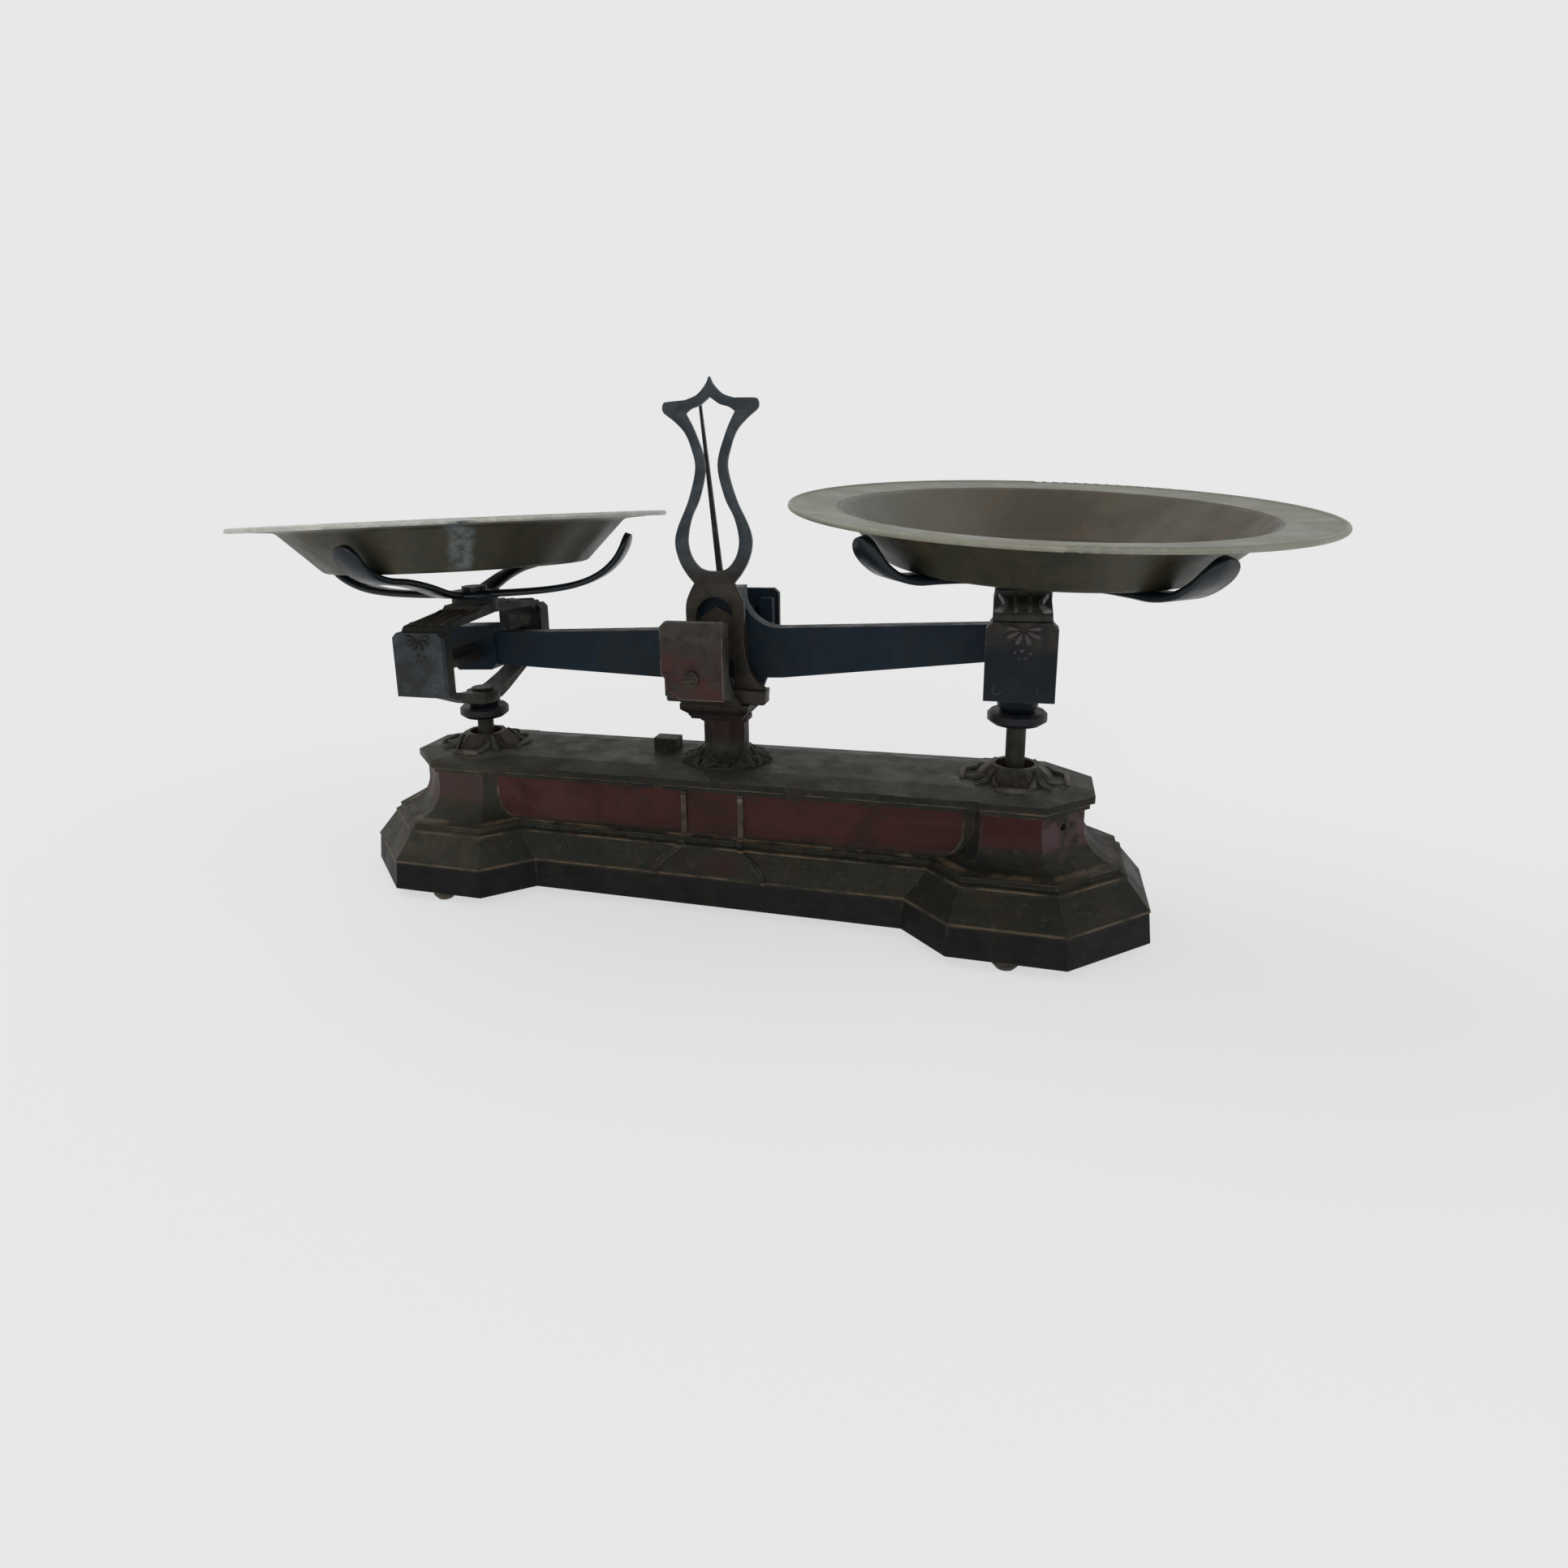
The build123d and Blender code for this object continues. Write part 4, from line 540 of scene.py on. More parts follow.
def hanger_material(name, dust, ground):
    """The bridge of a carrier: dark iron below, pale dust lying on its top; the colours passed in for the
    right one are made paler as painted light.
    """
    n = Nodes(name)
    tone = n.mix(n.patches(75), *ground)
    inner = n.ramp(n.math("ABSOLUTE", n.split(n.place)[1]), 0.0440, 0.0415, 0.3, 1.0)
    settled = n.all_of(n.upward(0.3, 0.7), n.ramp(n.noise(150, 5), 0.3, 0.6, 0.5, 1.0), inner)
    tone = n.mix(settled, tone, dust)
    n.bump(n.noise(800, 5, 0.6), 0.5, 0.0002)
    return n.finish(tone, n.ramp(n.noise(120), 0.3, 0.7, 0.42, 0.6), 0.0, 0.12)


def column_cheek_material():
    """A cheek of the column: grey-beige above, worn red below, pale edges."""
    n = Nodes("column_cheek_paint")
    height = n.wander(n.split(n.place)[2], 70, 4, 0.022)
    low = n.ramp(height, 0.1255, 0.1145)
    grey = n.mix(n.patches(95), (0.040, 0.034, 0.028), (0.020, 0.017, 0.014))
    red = n.mix(n.patches(90), (0.044, 0.0145, 0.0125), (0.020, 0.0100, 0.0085))
    red = n.mix(n.all_of(n.patches(150, 0.46, 0.60), 0.85), red, (0.028, 0.024, 0.019))
    tone = n.mix(low, grey, red)
    worn_edge = n.all_of(n.edges(0.0009), n.ramp(n.noise(160, 3), 0.36, 0.52))
    tone = n.mix(worn_edge, tone, (0.17, 0.16, 0.14))
    n.bump(n.noise(700, 6, 0.65), 0.5, 0.00025)
    return n.finish(tone, n.ramp(n.noise(120), 0.3, 0.7, 0.36, 0.6), 0.0, 0.2)


def lyre_material():
    """The lyre: blue-black above, turning to brown and olive rust near its feet."""
    n = Nodes("lyre_paint")
    height = n.wander(n.split(n.place)[2], 60, 4, 0.03)
    cold = n.mix(n.patches(90), (0.022, 0.030, 0.038), (0.040, 0.050, 0.057))
    rusty = n.mix(n.patches(110), (0.030, 0.025, 0.017), (0.017, 0.0145, 0.0115))
    tone = n.mix(n.ramp(height, 0.157, 0.142), cold, rusty)
    worn_edge = n.all_of(n.edges(0.0006), n.ramp(n.noise(200, 3), 0.42, 0.6))
    tone = n.mix(worn_edge, tone, (0.090, 0.092, 0.090))
    n.bump(n.noise(800, 5, 0.6), 0.45, 0.0002)
    return n.finish(tone, n.ramp(n.noise(120), 0.3, 0.7, 0.36, 0.55), 0.1, 0.2)


def pan_material(name, floor, tone_wall, rim_edge_highlight, stain_angle=None):
    """Old brass, laid out from the pan's floor: turned lines, a pale rim that is partly a painted reflection
    with a painted highlight on its edge, brown inside with painted light on its left part, and olive
    outside.
    """
    n = Nodes(name)
    turn = Vector((0, 0, 1)).rotation_difference(Vector(floor["axis"])).to_euler()
    spot = n.local(floor["pos_m"], turn)
    x, y, z = n.split(spot)
    out = n.length(x, y)
    rings = n.noise(1400, 3, 0.7, source=n.join(out, 0.0, z))
    clouds = n.patches(26, 0.36, 0.64)
    fine = n.patches(120, 0.38, 0.64)

    # Outside, inside and rim
    wall = n.mix(clouds, tone_wall, (0.030, 0.030, 0.021))
    wall = n.mix(n.math("MULTIPLY", fine, 0.4), wall, (0.060, 0.050, 0.028))
    wall = n.mix(n.all_of(n.patches(60, 0.54, 0.68), 0.5), wall, (0.090, 0.052, 0.024))
    inside = n.mix(clouds, (0.088, 0.076, 0.052), (0.062, 0.056, 0.040))
    inside = n.mix(n.all_of(n.patches(85, 0.54, 0.68), 0.45), inside, (0.118, 0.066, 0.042))
    # Painted light: the left part of the inside is made paler, as if lit from the left
    inside = n.mix(n.ramp(x, 0.000, -0.085), inside, (0.135, 0.132, 0.110))
    # The rim: worn brass, its pale grey partly a painted reflection
    rim = n.mix(clouds, (0.192, 0.190, 0.146), (0.150, 0.153, 0.120))
    rim = n.mix(n.math("MULTIPLY", fine, 0.3), rim, (0.25, 0.25, 0.215))
    up = n.ramp(n.split(n.normal())[2], -0.1, 0.25)
    in_bowl = n.all_of(up, n.ramp(out, 0.0806, 0.0796))
    at_rim = n.ramp(out, 0.0800, 0.0812)
    tone = n.mix(in_bowl, wall, inside)
    tone = n.mix(n.all_of(at_rim, n.ramp(up, 0.0, 1.0, 0.45, 1.0)), tone, rim)
    # Painted highlight: a pale line along the rim's outer edge
    tone = n.mix(n.all_of(n.ramp(out, 0.0980, 0.0988), n.ramp(fine, 0.0, 1.0, 0.75, 0.95)), tone, rim_edge_highlight)

    # A streak of green corrosion down the wall
    if stain_angle is not None:
        turn_about = n.math("ARCTAN2", y, x)
        near = n.band(n.wander(turn_about, 85, 4, 0.22), radians(stain_angle), 0.055, 0.035)
        spread = n.all_of(near, n.ramp(n.noise(240, 5), 0.34, 0.56, 0.25, 1.0), n.ramp(out, 0.060, 0.064),
                         n.ramp(up, 0.6, 0.2))
        tone = n.mix(spread, tone, (0.115, 0.140, 0.140))
    n.bump(n.math("ADD", n.math("MULTIPLY", rings, 0.7), n.noise(420, 5)), 0.35, 0.00015)
    return n.finish(tone, n.ramp(n.noise(60, 4), 0.3, 0.7, 0.38, 0.55), 0.3, 0.3)


def give(material, *names):
    """Put a material on CAD nodes."""
    for name in names:
        mesh = nodes[name].data
        mesh.materials.clear()
        mesh.materials.append(material)


def surface_of(*names):
    """A search tree of CAD surfaces."""
    mesh = bmesh.new()
    for name in names:
        mesh.from_mesh(nodes[name].data)
    return BVHTree.FromBMesh(mesh)


def dropped(tree, place, way):
    """Where a point meets the surface when it moves along a direction."""
    hit = tree.ray_cast(Vector(place) - way * 0.005, way, 0.04)[0]
    return hit if hit else Vector(place)


def add_strip(mesh, tree, way, spine, widths, height):
    """A raised strip or leaf with a rounded back; its edges sink a little into the surface."""
    arch = ((-1.0, -0.25), (-0.6, 0.72), (0.0, 1.0), (0.6, 0.72), (1.0, -0.25))
    rows = []
    for index, point in enumerate(spine):
        before = Vector(spine[max(index - 1, 0)])
        after = Vector(spine[min(index + 1, len(spine) - 1)])
        side = way.cross(after - before).normalized()
        row = []
        for across, lift in arch:
            ground = dropped(tree, Vector(point) + side * (widths[index] / 2 * across), way)
            rise = height * lift * min(1.0, widths[index] / max(widths) + 0.35)
            row.append(mesh.verts.new(ground - way * rise))
        rows.append(row)
    for first, second in zip(rows[:-1], rows[1:]):
        for k in range(4):
            mesh.faces.new((first[k], first[k + 1], second[k + 1], second[k]))
        mesh.faces.new((first[4], first[0], second[0], second[4]))
    mesh.faces.new(rows[0][::-1])
    mesh.faces.new(rows[-1])


def add_bead(mesh, tree, way, place, radius, flat=0.8):
    """A small round bead, half sunk."""
    ground = dropped(tree, place, way)
    turn = Vector((0, 0, 1)).rotation_difference(-way).to_matrix().to_4x4()
    matrix = Matrix.Translation(ground) @ turn @ Matrix.Diagonal((radius, radius, radius * flat, 1))
    bmesh.ops.create_icosphere(mesh, subdivisions=2, radius=1.0, matrix=matrix)


def make_piece(name, mesh, body, material, rounds=1):
    """Turn a bmesh into a smooth piece that rides on a body."""
    bmesh.ops.recalc_face_normals(mesh, faces=mesh.faces)
    data = bpy.data.meshes.new(name)
    mesh.to_mesh(data)
    mesh.free()
    for face in data.polygons:
        face.use_smooth = True
    data.materials.append(material)
    piece = bpy.data.objects.new(name, data)
    bpy.context.scene.collection.objects.link(piece)
    if rounds:
        smooth = piece.modifiers.new("smooth", "SUBSURF")
        smooth.levels = smooth.render_levels = rounds
    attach(piece, body)
    return piece


def ring_point(centre, angle, away, height):
    """A point round an upright axis, in metres, from millimetres."""
    turn = radians(angle)
    return (centre + away * cos(turn) * mm, away * sin(turn) * mm, height * mm)


def add_leaf(mesh, tree, centre, angle, start, end, height, width):
    """A leaf of three lobes that lies outwards from an upright axis."""
    steps = [start + (end - start) * k / 5 for k in range(6)]
    spine = [ring_point(centre, angle, r, leaf_level) for r in steps]
    widths = [width * w * mm for w in (0.45, 0.8, 1.0, 0.95, 0.62, 0.2)]
    add_strip(mesh, tree, down, spine, widths, height * mm)
    for side in (-1, 1):
        lobe = [ring_point(centre, angle + side * turn, start + (end - start) * part, leaf_level)
                for turn, part in ((7, 0.22), (14, 0.42), (21, 0.62), (28, 0.80), (32, 0.92))]
        widths = [width * w * mm for w in (0.4, 0.7, 0.8, 0.6, 0.2)]
        add_strip(mesh, tree, down, lobe, widths, 0.85 * height * mm)


def make_base_ornament():
    """Leaves and lips round the stem bosses and the column foot, and beads on the ribs."""
    tree = surface_of("base_casting", "column")
    leaves = bmesh.new()
    foot_leaves = bmesh.new()
    lips = bmesh.new()
    for side in (-1, 1):
        centre = side * boss_reach
        for angle in (45, 135, 225, 315):
            add_leaf(leaves, tree, centre, angle, start=10.6, end=21.6, height=1.9, width=4.4)
        for angle in (0, 90, 180, 270):
            turn = radians(angle)
            out = Vector((cos(turn), sin(turn), 0))
            along = Vector((-sin(turn), cos(turn), 0))
            middle = Vector((centre, 0, leaf_level * mm)) + out * lip_away * mm
            spine = [middle + along * k * mm for k in lip_line]
            add_strip(lips, tree, down, spine, [lip_width * mm] * len(lip_line), lip_height * mm)
    for index, angle in enumerate(foot_leaf_angles):
        end, height, width = foot_leaf_sizes[index % len(foot_leaf_sizes)]
        add_leaf(foot_leaves, tree, 0.0, angle, foot_leaf_start, end, height, width)
    casting = surface_of("base_casting")
    bead_x, bead_y, bead_z = rib_bead
    for side in (-1, 1):
        for way in (to_back, to_front):
            place = (side * bead_x * mm, -bead_y * mm * way.y, bead_z * mm)
            add_bead(lips, casting, way, place, rib_bead_radius * mm)
    make_piece("base_leaves", leaves, "base", leaf_paint)
    make_piece("column_foot_leaves", foot_leaves, "base", foot_leaf_paint)
    make_piece("base_lips_and_beads", lips, "base", lip_paint)


def make_carrier_ornament(side_name, knife, lift, paints):
    """Palmette and beads on both cheeks, ribs and scrolls on the bridge."""
    centre, _, height = knife
    carving = bmesh.new()
    scrolls = bmesh.new()
    cheeks = surface_of(side_name + "_cheek_front", side_name + "_cheek_rear")
    for way in (to_back, to_front):
        level = -cheek_start * mm * way.y

        def at(x, z):
            return (centre + x * mm, level, height + z * mm)

        for angle, length in palmette_leaves:
            turn = radians(angle)
            spine = [at(palmette_x + cos(turn) * r, palmette_z + sin(turn) * r * 0.9)
                     for r in (1.0, 2.6, 4.2, 5.6, length)]
            widths = [w * mm for w in (0.9, 2.0, 3.0, 2.8, 1.0)]
            add_strip(carving, cheeks, way, spine, widths, palmette_height * mm)
        for x, z, radius in cheek_beads:
            add_bead(carving, cheeks, way, at(x, z), radius * mm)
    bridge = surface_of(side_name + "_hanger")
    level = height + bridge_start * mm
    for sy in (-1, 1):
        for x in (-bridge_rib_x, bridge_rib_x):
            spine = [(centre + x * mm, sy * y * mm, level) for y in bridge_rib_line]
            widths = [w * mm for w in (2.2, 2.9, 2.9, 2.9, 2.2)]
            add_strip(scrolls, bridge, down, spine, widths, 0.8 * lift * mm)
        for sx in (-1, 1):
            spine = [(centre + sx * x * mm, sy * y * mm, level) for x, y in scroll_line]
            widths = [w * mm for w in (1.8, 2.6, 3.2, 3.4, 3.2, 2.6, 1.6)]
            add_strip(scrolls, bridge, down, spine, widths, lift * mm)
            end = (centre + sx * scroll_end[0] * mm, sy * scroll_end[1] * mm, level)
            add_bead(scrolls, bridge, down, end, 0.8 * lift * mm, 1.0)
    make_piece(side_name + "_palmettes", carving, side_name + "_carrier", paints[0])
    make_piece(side_name + "_scrolls", scrolls, side_name + "_carrier", paints[1])


def flowing(points, steps):
    """More points on a smooth line through the given ones."""
    line = []
    for index in range(len(points) - 1):
        a = Vector(points[max(index - 1, 0)])
        b = Vector(points[index])
        c = Vector(points[index + 1])
        d = Vector(points[min(index + 2, len(points) - 1)])
        for step in range(steps):
            t = step / steps
            line.append(0.5 * (2 * b + (c - a) * t + (2 * a - 5 * b + 4 * c - d) * t * t
                               + (3 * b - a - 3 * c + d) * t * t * t))
    line.append(Vector(points[-1]))
    return line


def add_rows(mesh, rows):
    """Faces between closed rows of points, with both ends closed."""
    rings = [[mesh.verts.new(point) for point in row] for row in rows]
    count = len(rings[0])
    for first, second in zip(rings[:-1], rings[1:]):
        for k in range(count):
            mesh.faces.new((first[k], first[(k + 1) % count], second[(k + 1) % count], second[k]))
    mesh.faces.new(rings[0][::-1])
    mesh.faces.new(rings[-1])


def add_arm(mesh, place, angle, line, width, thickness):
    """A flat arm with soft edges and a round tip; the line is the middle of its upper side."""
    path = flowing(line, 8)
    length = [0.0]
    for first, second in zip(path[:-1], path[1:]):
        length.append(length[-1] + (second - first).length)
    turn = place @ Matrix.Rotation(radians(angle), 4, "Z")
    rows = []
    for index, point in enumerate(path):
        way = (path[min(index + 1, len(path) - 1)] - path[max(index - 1, 0)]).normalized()
        below = Vector((way.y, -way.x))
        left = length[-1] - length[index]
        waist = 1.0 - 0.22 * sin(pi * min(1.0, length[index] / (0.8 * length[-1])))
        half = width / 2 * waist
        if left < width / 2:
            half *= sqrt(max(0.02, 1 - (1 - left / (width / 2)) ** 2))
        row = []
        for across, depth in ((-1, 0.35), (-0.86, 0.0), (0, -0.08), (0.86, 0.0), (1, 0.35), (1, 0.75),
                              (0.86, 1.0), (0, 1.0), (-0.86, 1.0), (-1, 0.75)):
            spot = point + below * (thickness * depth)
            row.append(turn @ Vector((spot.x * mm, half * across * mm, spot.y * mm)))
        rows.append(row)
    add_rows(mesh, rows)


def add_lathe(mesh, place, profile, count=48):
    """A solid turned about the frame's Z, from (radius, height) points in millimetres."""
    rows = []
    turns = [2 * pi * k / count for k in range(count)]
    for radius, height in profile:
        rows.append([place @ Vector((radius * mm * cos(turn), radius * mm * sin(turn), height * mm))
                     for turn in turns])
    add_rows(mesh, rows)


def make_spider(side_name, knife, lean, shift, arms, arm_width):
    """Hub and four arms in one flowing casting, in place of the solid with straight bends."""
    mesh = bmesh.new()
    upright = Matrix.Translation(Vector(knife) + Vector((0, 0, bridge_top * mm)))
    about_x, about_y = lean
    leaning = upright @ Matrix.Rotation(radians(about_x), 4, "X") @ Matrix.Rotation(radians(about_y), 4, "Y")
    leaning = leaning @ Matrix.Translation(shift)
    for angle, line in arms:
        add_arm(mesh, leaning, angle, line, arm_width, spider_thickness)
    add_lathe(mesh, upright, hub_profile)
    piece = make_piece(side_name + "_spider_casting", mesh, side_name + "_carrier",
                       arm_paint, 0)
    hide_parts(side_name + "_spider")


def make_lyre():
    """The lyre with its full rounded window and soft shoulders, in place of the plainer solid.

    Half of the outline and half of the window are drawn, in millimetres from the middle and above the pivot.
    """
    outer = flowing([(0, 109.2), (1.7, 105.9), (5.4, 102.3), (10.4, 100.5)], 6)
    outer += flowing([(10.4, 100.5), (18.6, 100.1), (19.9, 99.5), (20.4, 98.3), (20.3, 96.6), (19.2, 95.2),
                      (15.2, 92.1), (11.0, 87.6), (8.4, 81.5), (6.85, 73.0), (10.2, 60.4), (15.2, 49.5),
                      (16.8, 42.5), (15.2, 35.2), (12.1, 29.6), (8.8, 25.6)], 6)[1:]
    outer += flowing([(8.8, 25.6), (11.2, 21.2), (12.9, 15.4), (12.9, 2.0), (14.3, -8.3), (17.4, -15.4),
                      (22.5, lyre_foot_top)], 5)[1:]
    outer += [Vector((lyre_leg_inner, lyre_foot_top))]
    for k in range(13):
        turn = radians(90 * k / 12)
        outer.append(Vector((lyre_leg_inner * cos(turn), lyre_arch_level + lyre_leg_inner * sin(turn))))
    window = flowing([(0, 101.4), (4.3, 98.3), (8.2, 97.0), (10.7, 95.2)], 5)
    window += flowing([(10.7, 95.2), (6.7, 87.2), (2.9, 74.5), (5.5, 61.6), (9.5, 53.0), (11.3, 45.5),
                       (11.2, 40.6), (9.6, 36.0), (6.5, 32.2), (3.0, 30.8), (0, 30.6)], 6)[1:]
    curve = bpy.data.curves.new("lyre_outline", "CURVE")
    curve.dimensions = "2D"
    curve.fill_mode = "BOTH"
    curve.extrude = (lyre_thickness / 2 - lyre_edge) * mm
    curve.bevel_depth = lyre_edge * mm
    curve.bevel_resolution = 2
    curve.offset = -lyre_edge * mm
    for half in (outer, window):
        loop = half + [Vector((-point.x, point.y)) for point in half[-2:0:-1]]
        spline = curve.splines.new("POLY")
        spline.points.add(len(loop) - 1)
        for point, spot in zip(spline.points, loop):
            point.co = (spot.x * mm, spot.y * mm, 0, 1)
        spline.use_cyclic_u = True
    holder = bpy.data.objects.new("lyre_outline", curve)
    bpy.context.scene.collection.objects.link(holder)
    bpy.context.view_layer.update()
    flat = bpy.data.meshes.new_from_object(holder.evaluated_get(bpy.context.evaluated_depsgraph_get()))
    bpy.data.objects.remove(holder)
    mesh = bmesh.new()
    mesh.from_mesh(flat)
    stand = Matrix.Translation((0, lyre_middle, pivot_level)) @ Matrix.Rotation(pi / 2, 4, "X")
    bmesh.ops.transform(mesh, matrix=stand, verts=mesh.verts)
    foot_width, foot_depth, foot_height = (size * mm for size in lyre_foot)
    foot = Matrix.Translation((0, lyre_middle, pivot_level + lyre_foot_top * mm - foot_height / 2))
    foot = foot @ Matrix.Diagonal((foot_width, foot_depth, foot_height, 1))
    made = bmesh.ops.create_cube(mesh, size=1.0, matrix=foot)
    ridges = {edge for vert in made["verts"] for edge in vert.link_edges}
    bmesh.ops.bevel(mesh, geom=list(ridges), offset=lyre_foot_edge * mm, segments=3, profile=0.5,
                    affect="EDGES")
    bmesh.ops.remove_doubles(mesh, verts=mesh.verts, dist=1e-6)
    piece = make_piece("lyre_casting", mesh, "base", lyre_paint, 0)
    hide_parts("lyre_frame")


def make_rear_cheek():
    """The rear cheek of the column, a little taller and wider than its solid."""
    mesh = bmesh.new()
    mesh.from_mesh(nodes["column_cheek_rear"].data)
    for vert in mesh.verts:
        vert.co.x *= rear_cheek_widening
        if vert.co.z > rear_cheek_raised_above:
            vert.co.z += rear_cheek_rise
    edges = [edge for edge in mesh.edges
             if len(edge.link_faces) == 2 and edge.calc_face_angle() > radians(30)]
    bmesh.ops.bevel(mesh, geom=edges, offset=rear_cheek_edge, segments=2, profile=0.5, affect="EDGES")
    piece = make_piece("rear_cheek_casting", mesh, "base", dark, 0)
    for face in piece.data.polygons:
        face.use_smooth = False
    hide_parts("column_cheek_rear")


def make_light():
    """Soft studio light, pale floor and backdrop."""
    scene = bpy.context.scene
    scene.view_settings.view_transform = "Standard"
    world = bpy.data.worlds.new("world")
    scene.world = world
    world.use_nodes = True
    tree = world.node_tree
    back = tree.nodes["Background"]
    path = tree.nodes.new("ShaderNodeLightPath")
    mix = tree.nodes.new("ShaderNodeMix")
    mix.data_type = "RGBA"
    seen = path.outputs["Is Camera Ray"]
    for kind in ("Is Glossy Ray", "Is Transmission Ray"):
        either = tree.nodes.new("ShaderNodeMath")
        either.operation = "MAXIMUM"
        tree.links.new(seen, either.inputs[0])
        tree.links.new(path.outputs[kind], either.inputs[1])
        seen = either.outputs[0]
    tree.links.new(seen, mix.inputs[0])
    mix.inputs[6].default_value = (*sky_light, 1)
    mix.inputs[7].default_value = (pale, pale, pale, 1)
    tree.links.new(mix.outputs[2], back.inputs[0])
    for name, place, spread, power, colour in suns:
        data = bpy.data.lights.new(name, "SUN")
        data.angle = radians(spread)
        data.energy = power
        data.color = colour
        lamp = bpy.data.objects.new(name, data)
        lamp.matrix_world = (-Vector(place)).to_track_quat("-Z", "Y").to_matrix().to_4x4()
        scene.collection.objects.link(lamp)
    mesh = bpy.data.meshes.new("floor")
    verts = [(x * floor_half, y * floor_half, 0) for x, y in ((-1, -1), (1, -1), (1, 1), (-1, 1))]
    mesh.from_pydata(verts, [], [(0, 1, 2, 3)])
    floor = bpy.data.objects.new("floor", mesh)
    scene.collection.objects.link(floor)
    n = Nodes("floor")
    n.shader.inputs["Emission Color"].default_value = (1, 1, 1, 1)
    n.shader.inputs["Emission Strength"].default_value = floor_glow
    mesh.materials.append(n.finish(floor_grey, 0.95, 0.0, 0.0))


make_camera()
make_light()

# Blue-black paint for the beam and the column's rear cheek; its blue is partly a painted sky reflection
dark = worn("beam_paint_and_sky_reflection", (0.0048, 0.0135, 0.0240), (0.0080, 0.0170, 0.0265), 0.45,
            edge=(0.030, 0.038, 0.046), tint=(0.0105, 0.0140, 0.0160), grain=0.35)
# Blue-black carrier paint; the dust on its tops is made paler as painted light where the pans shade it
blue = worn("carrier_paint_dust_and_light", (0.0100, 0.0125, 0.0140), (0.023, 0.021, 0.016), 0.5,
            edge=(0.060, 0.055, 0.045), dust=(0.130, 0.125, 0.100), tint=(0.015, 0.021, 0.018))
right_cheek = carrier_cheek_material("right_cheek_paint", right_knife[2], (0.0050, 0.0075, 0.0125),
                                     (0.0095, 0.0120, 0.0150))
left_rear_cheek = carrier_cheek_material("left_rear_cheek_paint", left_knife[2], (0.0060, 0.0095, 0.0120),
                                         (0.013, 0.015, 0.014))
# Painted light: the left front cheek is a much paler, lit copy of the right cheek's blue-black
left_cheek = worn("left_cheek_lit_copy_paint", (0.034, 0.043, 0.050), (0.050, 0.060, 0.067), 0.5,
                  edge=(0.12, 0.13, 0.14), tint=(0.026, 0.027, 0.026))
left_yoke_paint = worn("left_yoke_paint", (0.058, 0.053, 0.044), (0.022, 0.022, 0.019), 0.5,
                       edge=(0.09, 0.09, 0.08))
collar_paint = worn("collar_paint", (0.0055, 0.0070, 0.0100), (0.010, 0.0125, 0.015), 0.42, specular=0.2,
                    edge=(0.032, 0.036, 0.036))
stem_steel = worn("stem_steel", (0.036, 0.033, 0.024), (0.022, 0.020, 0.015), 0.5, metallic=0.1)
lyre_paint = lyre_material()
needle_steel = worn("needle_steel", (0.010, 0.011, 0.013), (0.030, 0.031, 0.032), 0.4, metallic=0.3)
clamp_paint = worn("clamp_paint", (0.040, 0.033, 0.024), (0.018, 0.016, 0.012), 0.5, edge=(0.14, 0.13, 0.10))
steel = worn("knife_steel", (0.030, 0.028, 0.026), (0.060, 0.056, 0.050), 0.45, metallic=0.6)
screw = worn("screw_steel", (0.050, 0.046, 0.040), (0.024, 0.022, 0.018), 0.5, metallic=0.3,
             edge=(0.24, 0.23, 0.20), wear=(0.3, 0.5))
feet_paint = worn("feet_paint", (0.060, 0.048, 0.036), (0.024, 0.020, 0.017), 0.55)
rubber = worn("buffer_rubber", (0.02, 0.02, 0.02), (0.03, 0.03, 0.03), 0.8)
arm_paint = worn("spider_paint", (0.0045, 0.0090, 0.0140), (0.0085, 0.0125, 0.0160), 0.32, specular=0.3,
                 edge=(0.035, 0.042, 0.050))
leaf_paint = worn("leaf_paint", (0.088, 0.096, 0.076), (0.026, 0.025, 0.019), 0.5, edge=(0.12, 0.125, 0.10),
                  tint=(0.028, 0.023, 0.017))
foot_leaf_paint = worn("foot_leaf_paint", (0.048, 0.046, 0.034), (0.022, 0.020, 0.015), 0.55,
                       edge=(0.06, 0.056, 0.043), tint=(0.027, 0.025, 0.018))
lip_paint = worn("lip_paint", (0.125, 0.108, 0.088), (0.052, 0.043, 0.035), 0.5, edge=(0.17, 0.15, 0.125))
carving_paint = worn("carving_paint", (0.070, 0.060, 0.058), (0.026, 0.022, 0.021), 0.45,
                     edge=(0.10, 0.094, 0.090))
left_carving_paint = worn("left_carving_paint", (0.030, 0.032, 0.031), (0.020, 0.019, 0.017), 0.5,
                          edge=(0.060, 0.063, 0.063))
# Painted light: the right bridge's scrolls and ribs are made very pale to make up for their shade under the
# pan
scroll_paint = worn("scroll_paint", (0.250, 0.270, 0.250), (0.110, 0.115, 0.105), 0.42,
                    edge=(0.38, 0.40, 0.38))
left_scroll_paint = worn("left_scroll_paint", (0.075, 0.068, 0.056), (0.034, 0.030, 0.024), 0.5,
                         edge=(0.11, 0.10, 0.085))
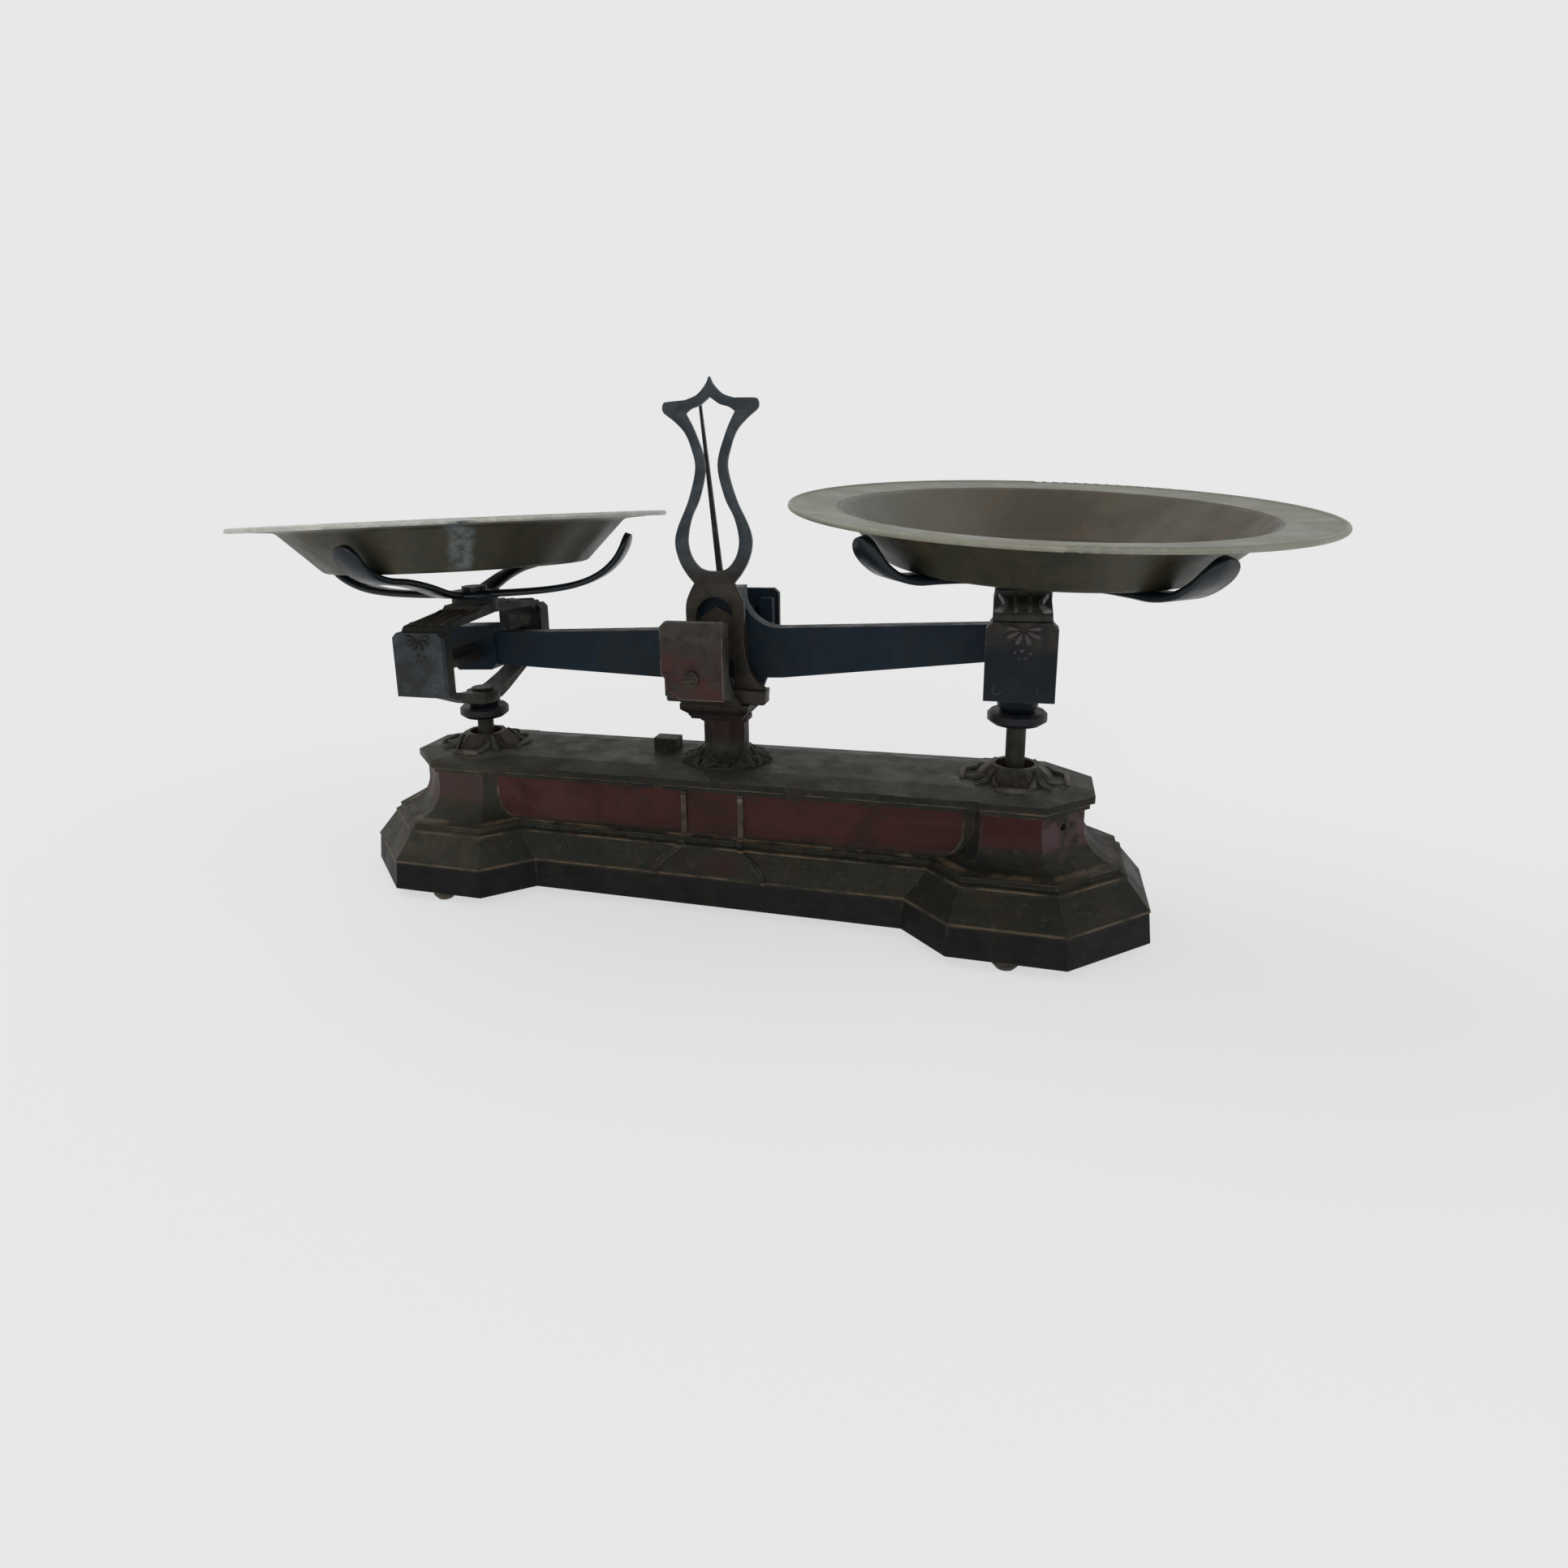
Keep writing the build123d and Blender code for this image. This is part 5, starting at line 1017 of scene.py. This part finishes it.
# Each pan's last colour is the painted highlight along its rim's edge
left_brass = pan_material("left_pan_brass", mounts["left_pan_floor"], (0.038, 0.036, 0.025),
                          (0.56, 0.56, 0.52), stain_angle=-57)
right_brass = pan_material("right_pan_brass", mounts["right_pan_floor"], (0.030, 0.028, 0.016),
                           (0.27, 0.265, 0.21))

finishes = {"base_iron": base_material(), "beam_iron": dark, "carrier_iron": blue, "knife_steel": steel,
            "screw_steel": screw, "pan_brass": right_brass, "buffer_rubber": rubber}
for part in frame["record"]["subparts"]:
    give(finishes[part["material_slot"]], part["node"])
give(left_brass, "left_pan")
give(column_material(), "column")
give(column_cheek_material(), "column_cheek_front")
give(dark, "column_cheek_rear")
give(clamp_paint, "column_cheek_screws")
give(lyre_paint, "lyre_frame")
give(needle_steel, "pointer")
give(clamp_paint, "knife_clamp_front", "knife_clamp_rear")
give(feet_paint, "base_feet")
for side_name in ("left", "right"):
    give(collar_paint, side_name + "_collar")
    give(stem_steel, side_name + "_stem")
    give(arm_paint, side_name + "_spider")
    give(arm_paint, side_name + "_spider_screw")
give(right_cheek, "right_cheek_front", "right_cheek_rear", "right_cheek_rivets")
give(left_rear_cheek, "left_cheek_rear")
give(left_cheek, "left_cheek_front", "left_cheek_rivets")
give(left_yoke_paint, "left_yoke")
dark_ground = ((0.0110, 0.0135, 0.0140), (0.024, 0.022, 0.017))
# Painted light: the right bridge's iron and dust colours are made paler to stand in for light that the pan
# shades off
painted_light_ground = ((0.030, 0.036, 0.034), (0.055, 0.052, 0.044))
give(hanger_material("left_hanger_paint", (0.090, 0.078, 0.062), dark_ground), "left_hanger")
give(hanger_material("right_hanger_dust_and_painted_light", (0.20, 0.21, 0.18), painted_light_ground), "right_hanger")

make_lyre()
make_rear_cheek()
left_arms = ((10, left_side_arm), (86, left_front_arm), (176, left_side_arm), (266.5, left_front_arm))
right_arms = [(angle, right_arm) for angle in (45.5, 135.5, 225.5, 309.5)]
make_spider("left", left_knife, left_lean, left_shift, left_arms, left_arm_width)
make_spider("right", right_knife, right_lean, right_shift, right_arms, right_arm_width)
make_base_ornament()
make_carrier_ornament("left", left_knife, lift=1.1, paints=(left_carving_paint, left_scroll_paint))
make_carrier_ornament("right", right_knife, lift=2.2, paints=(carving_paint, scroll_paint))
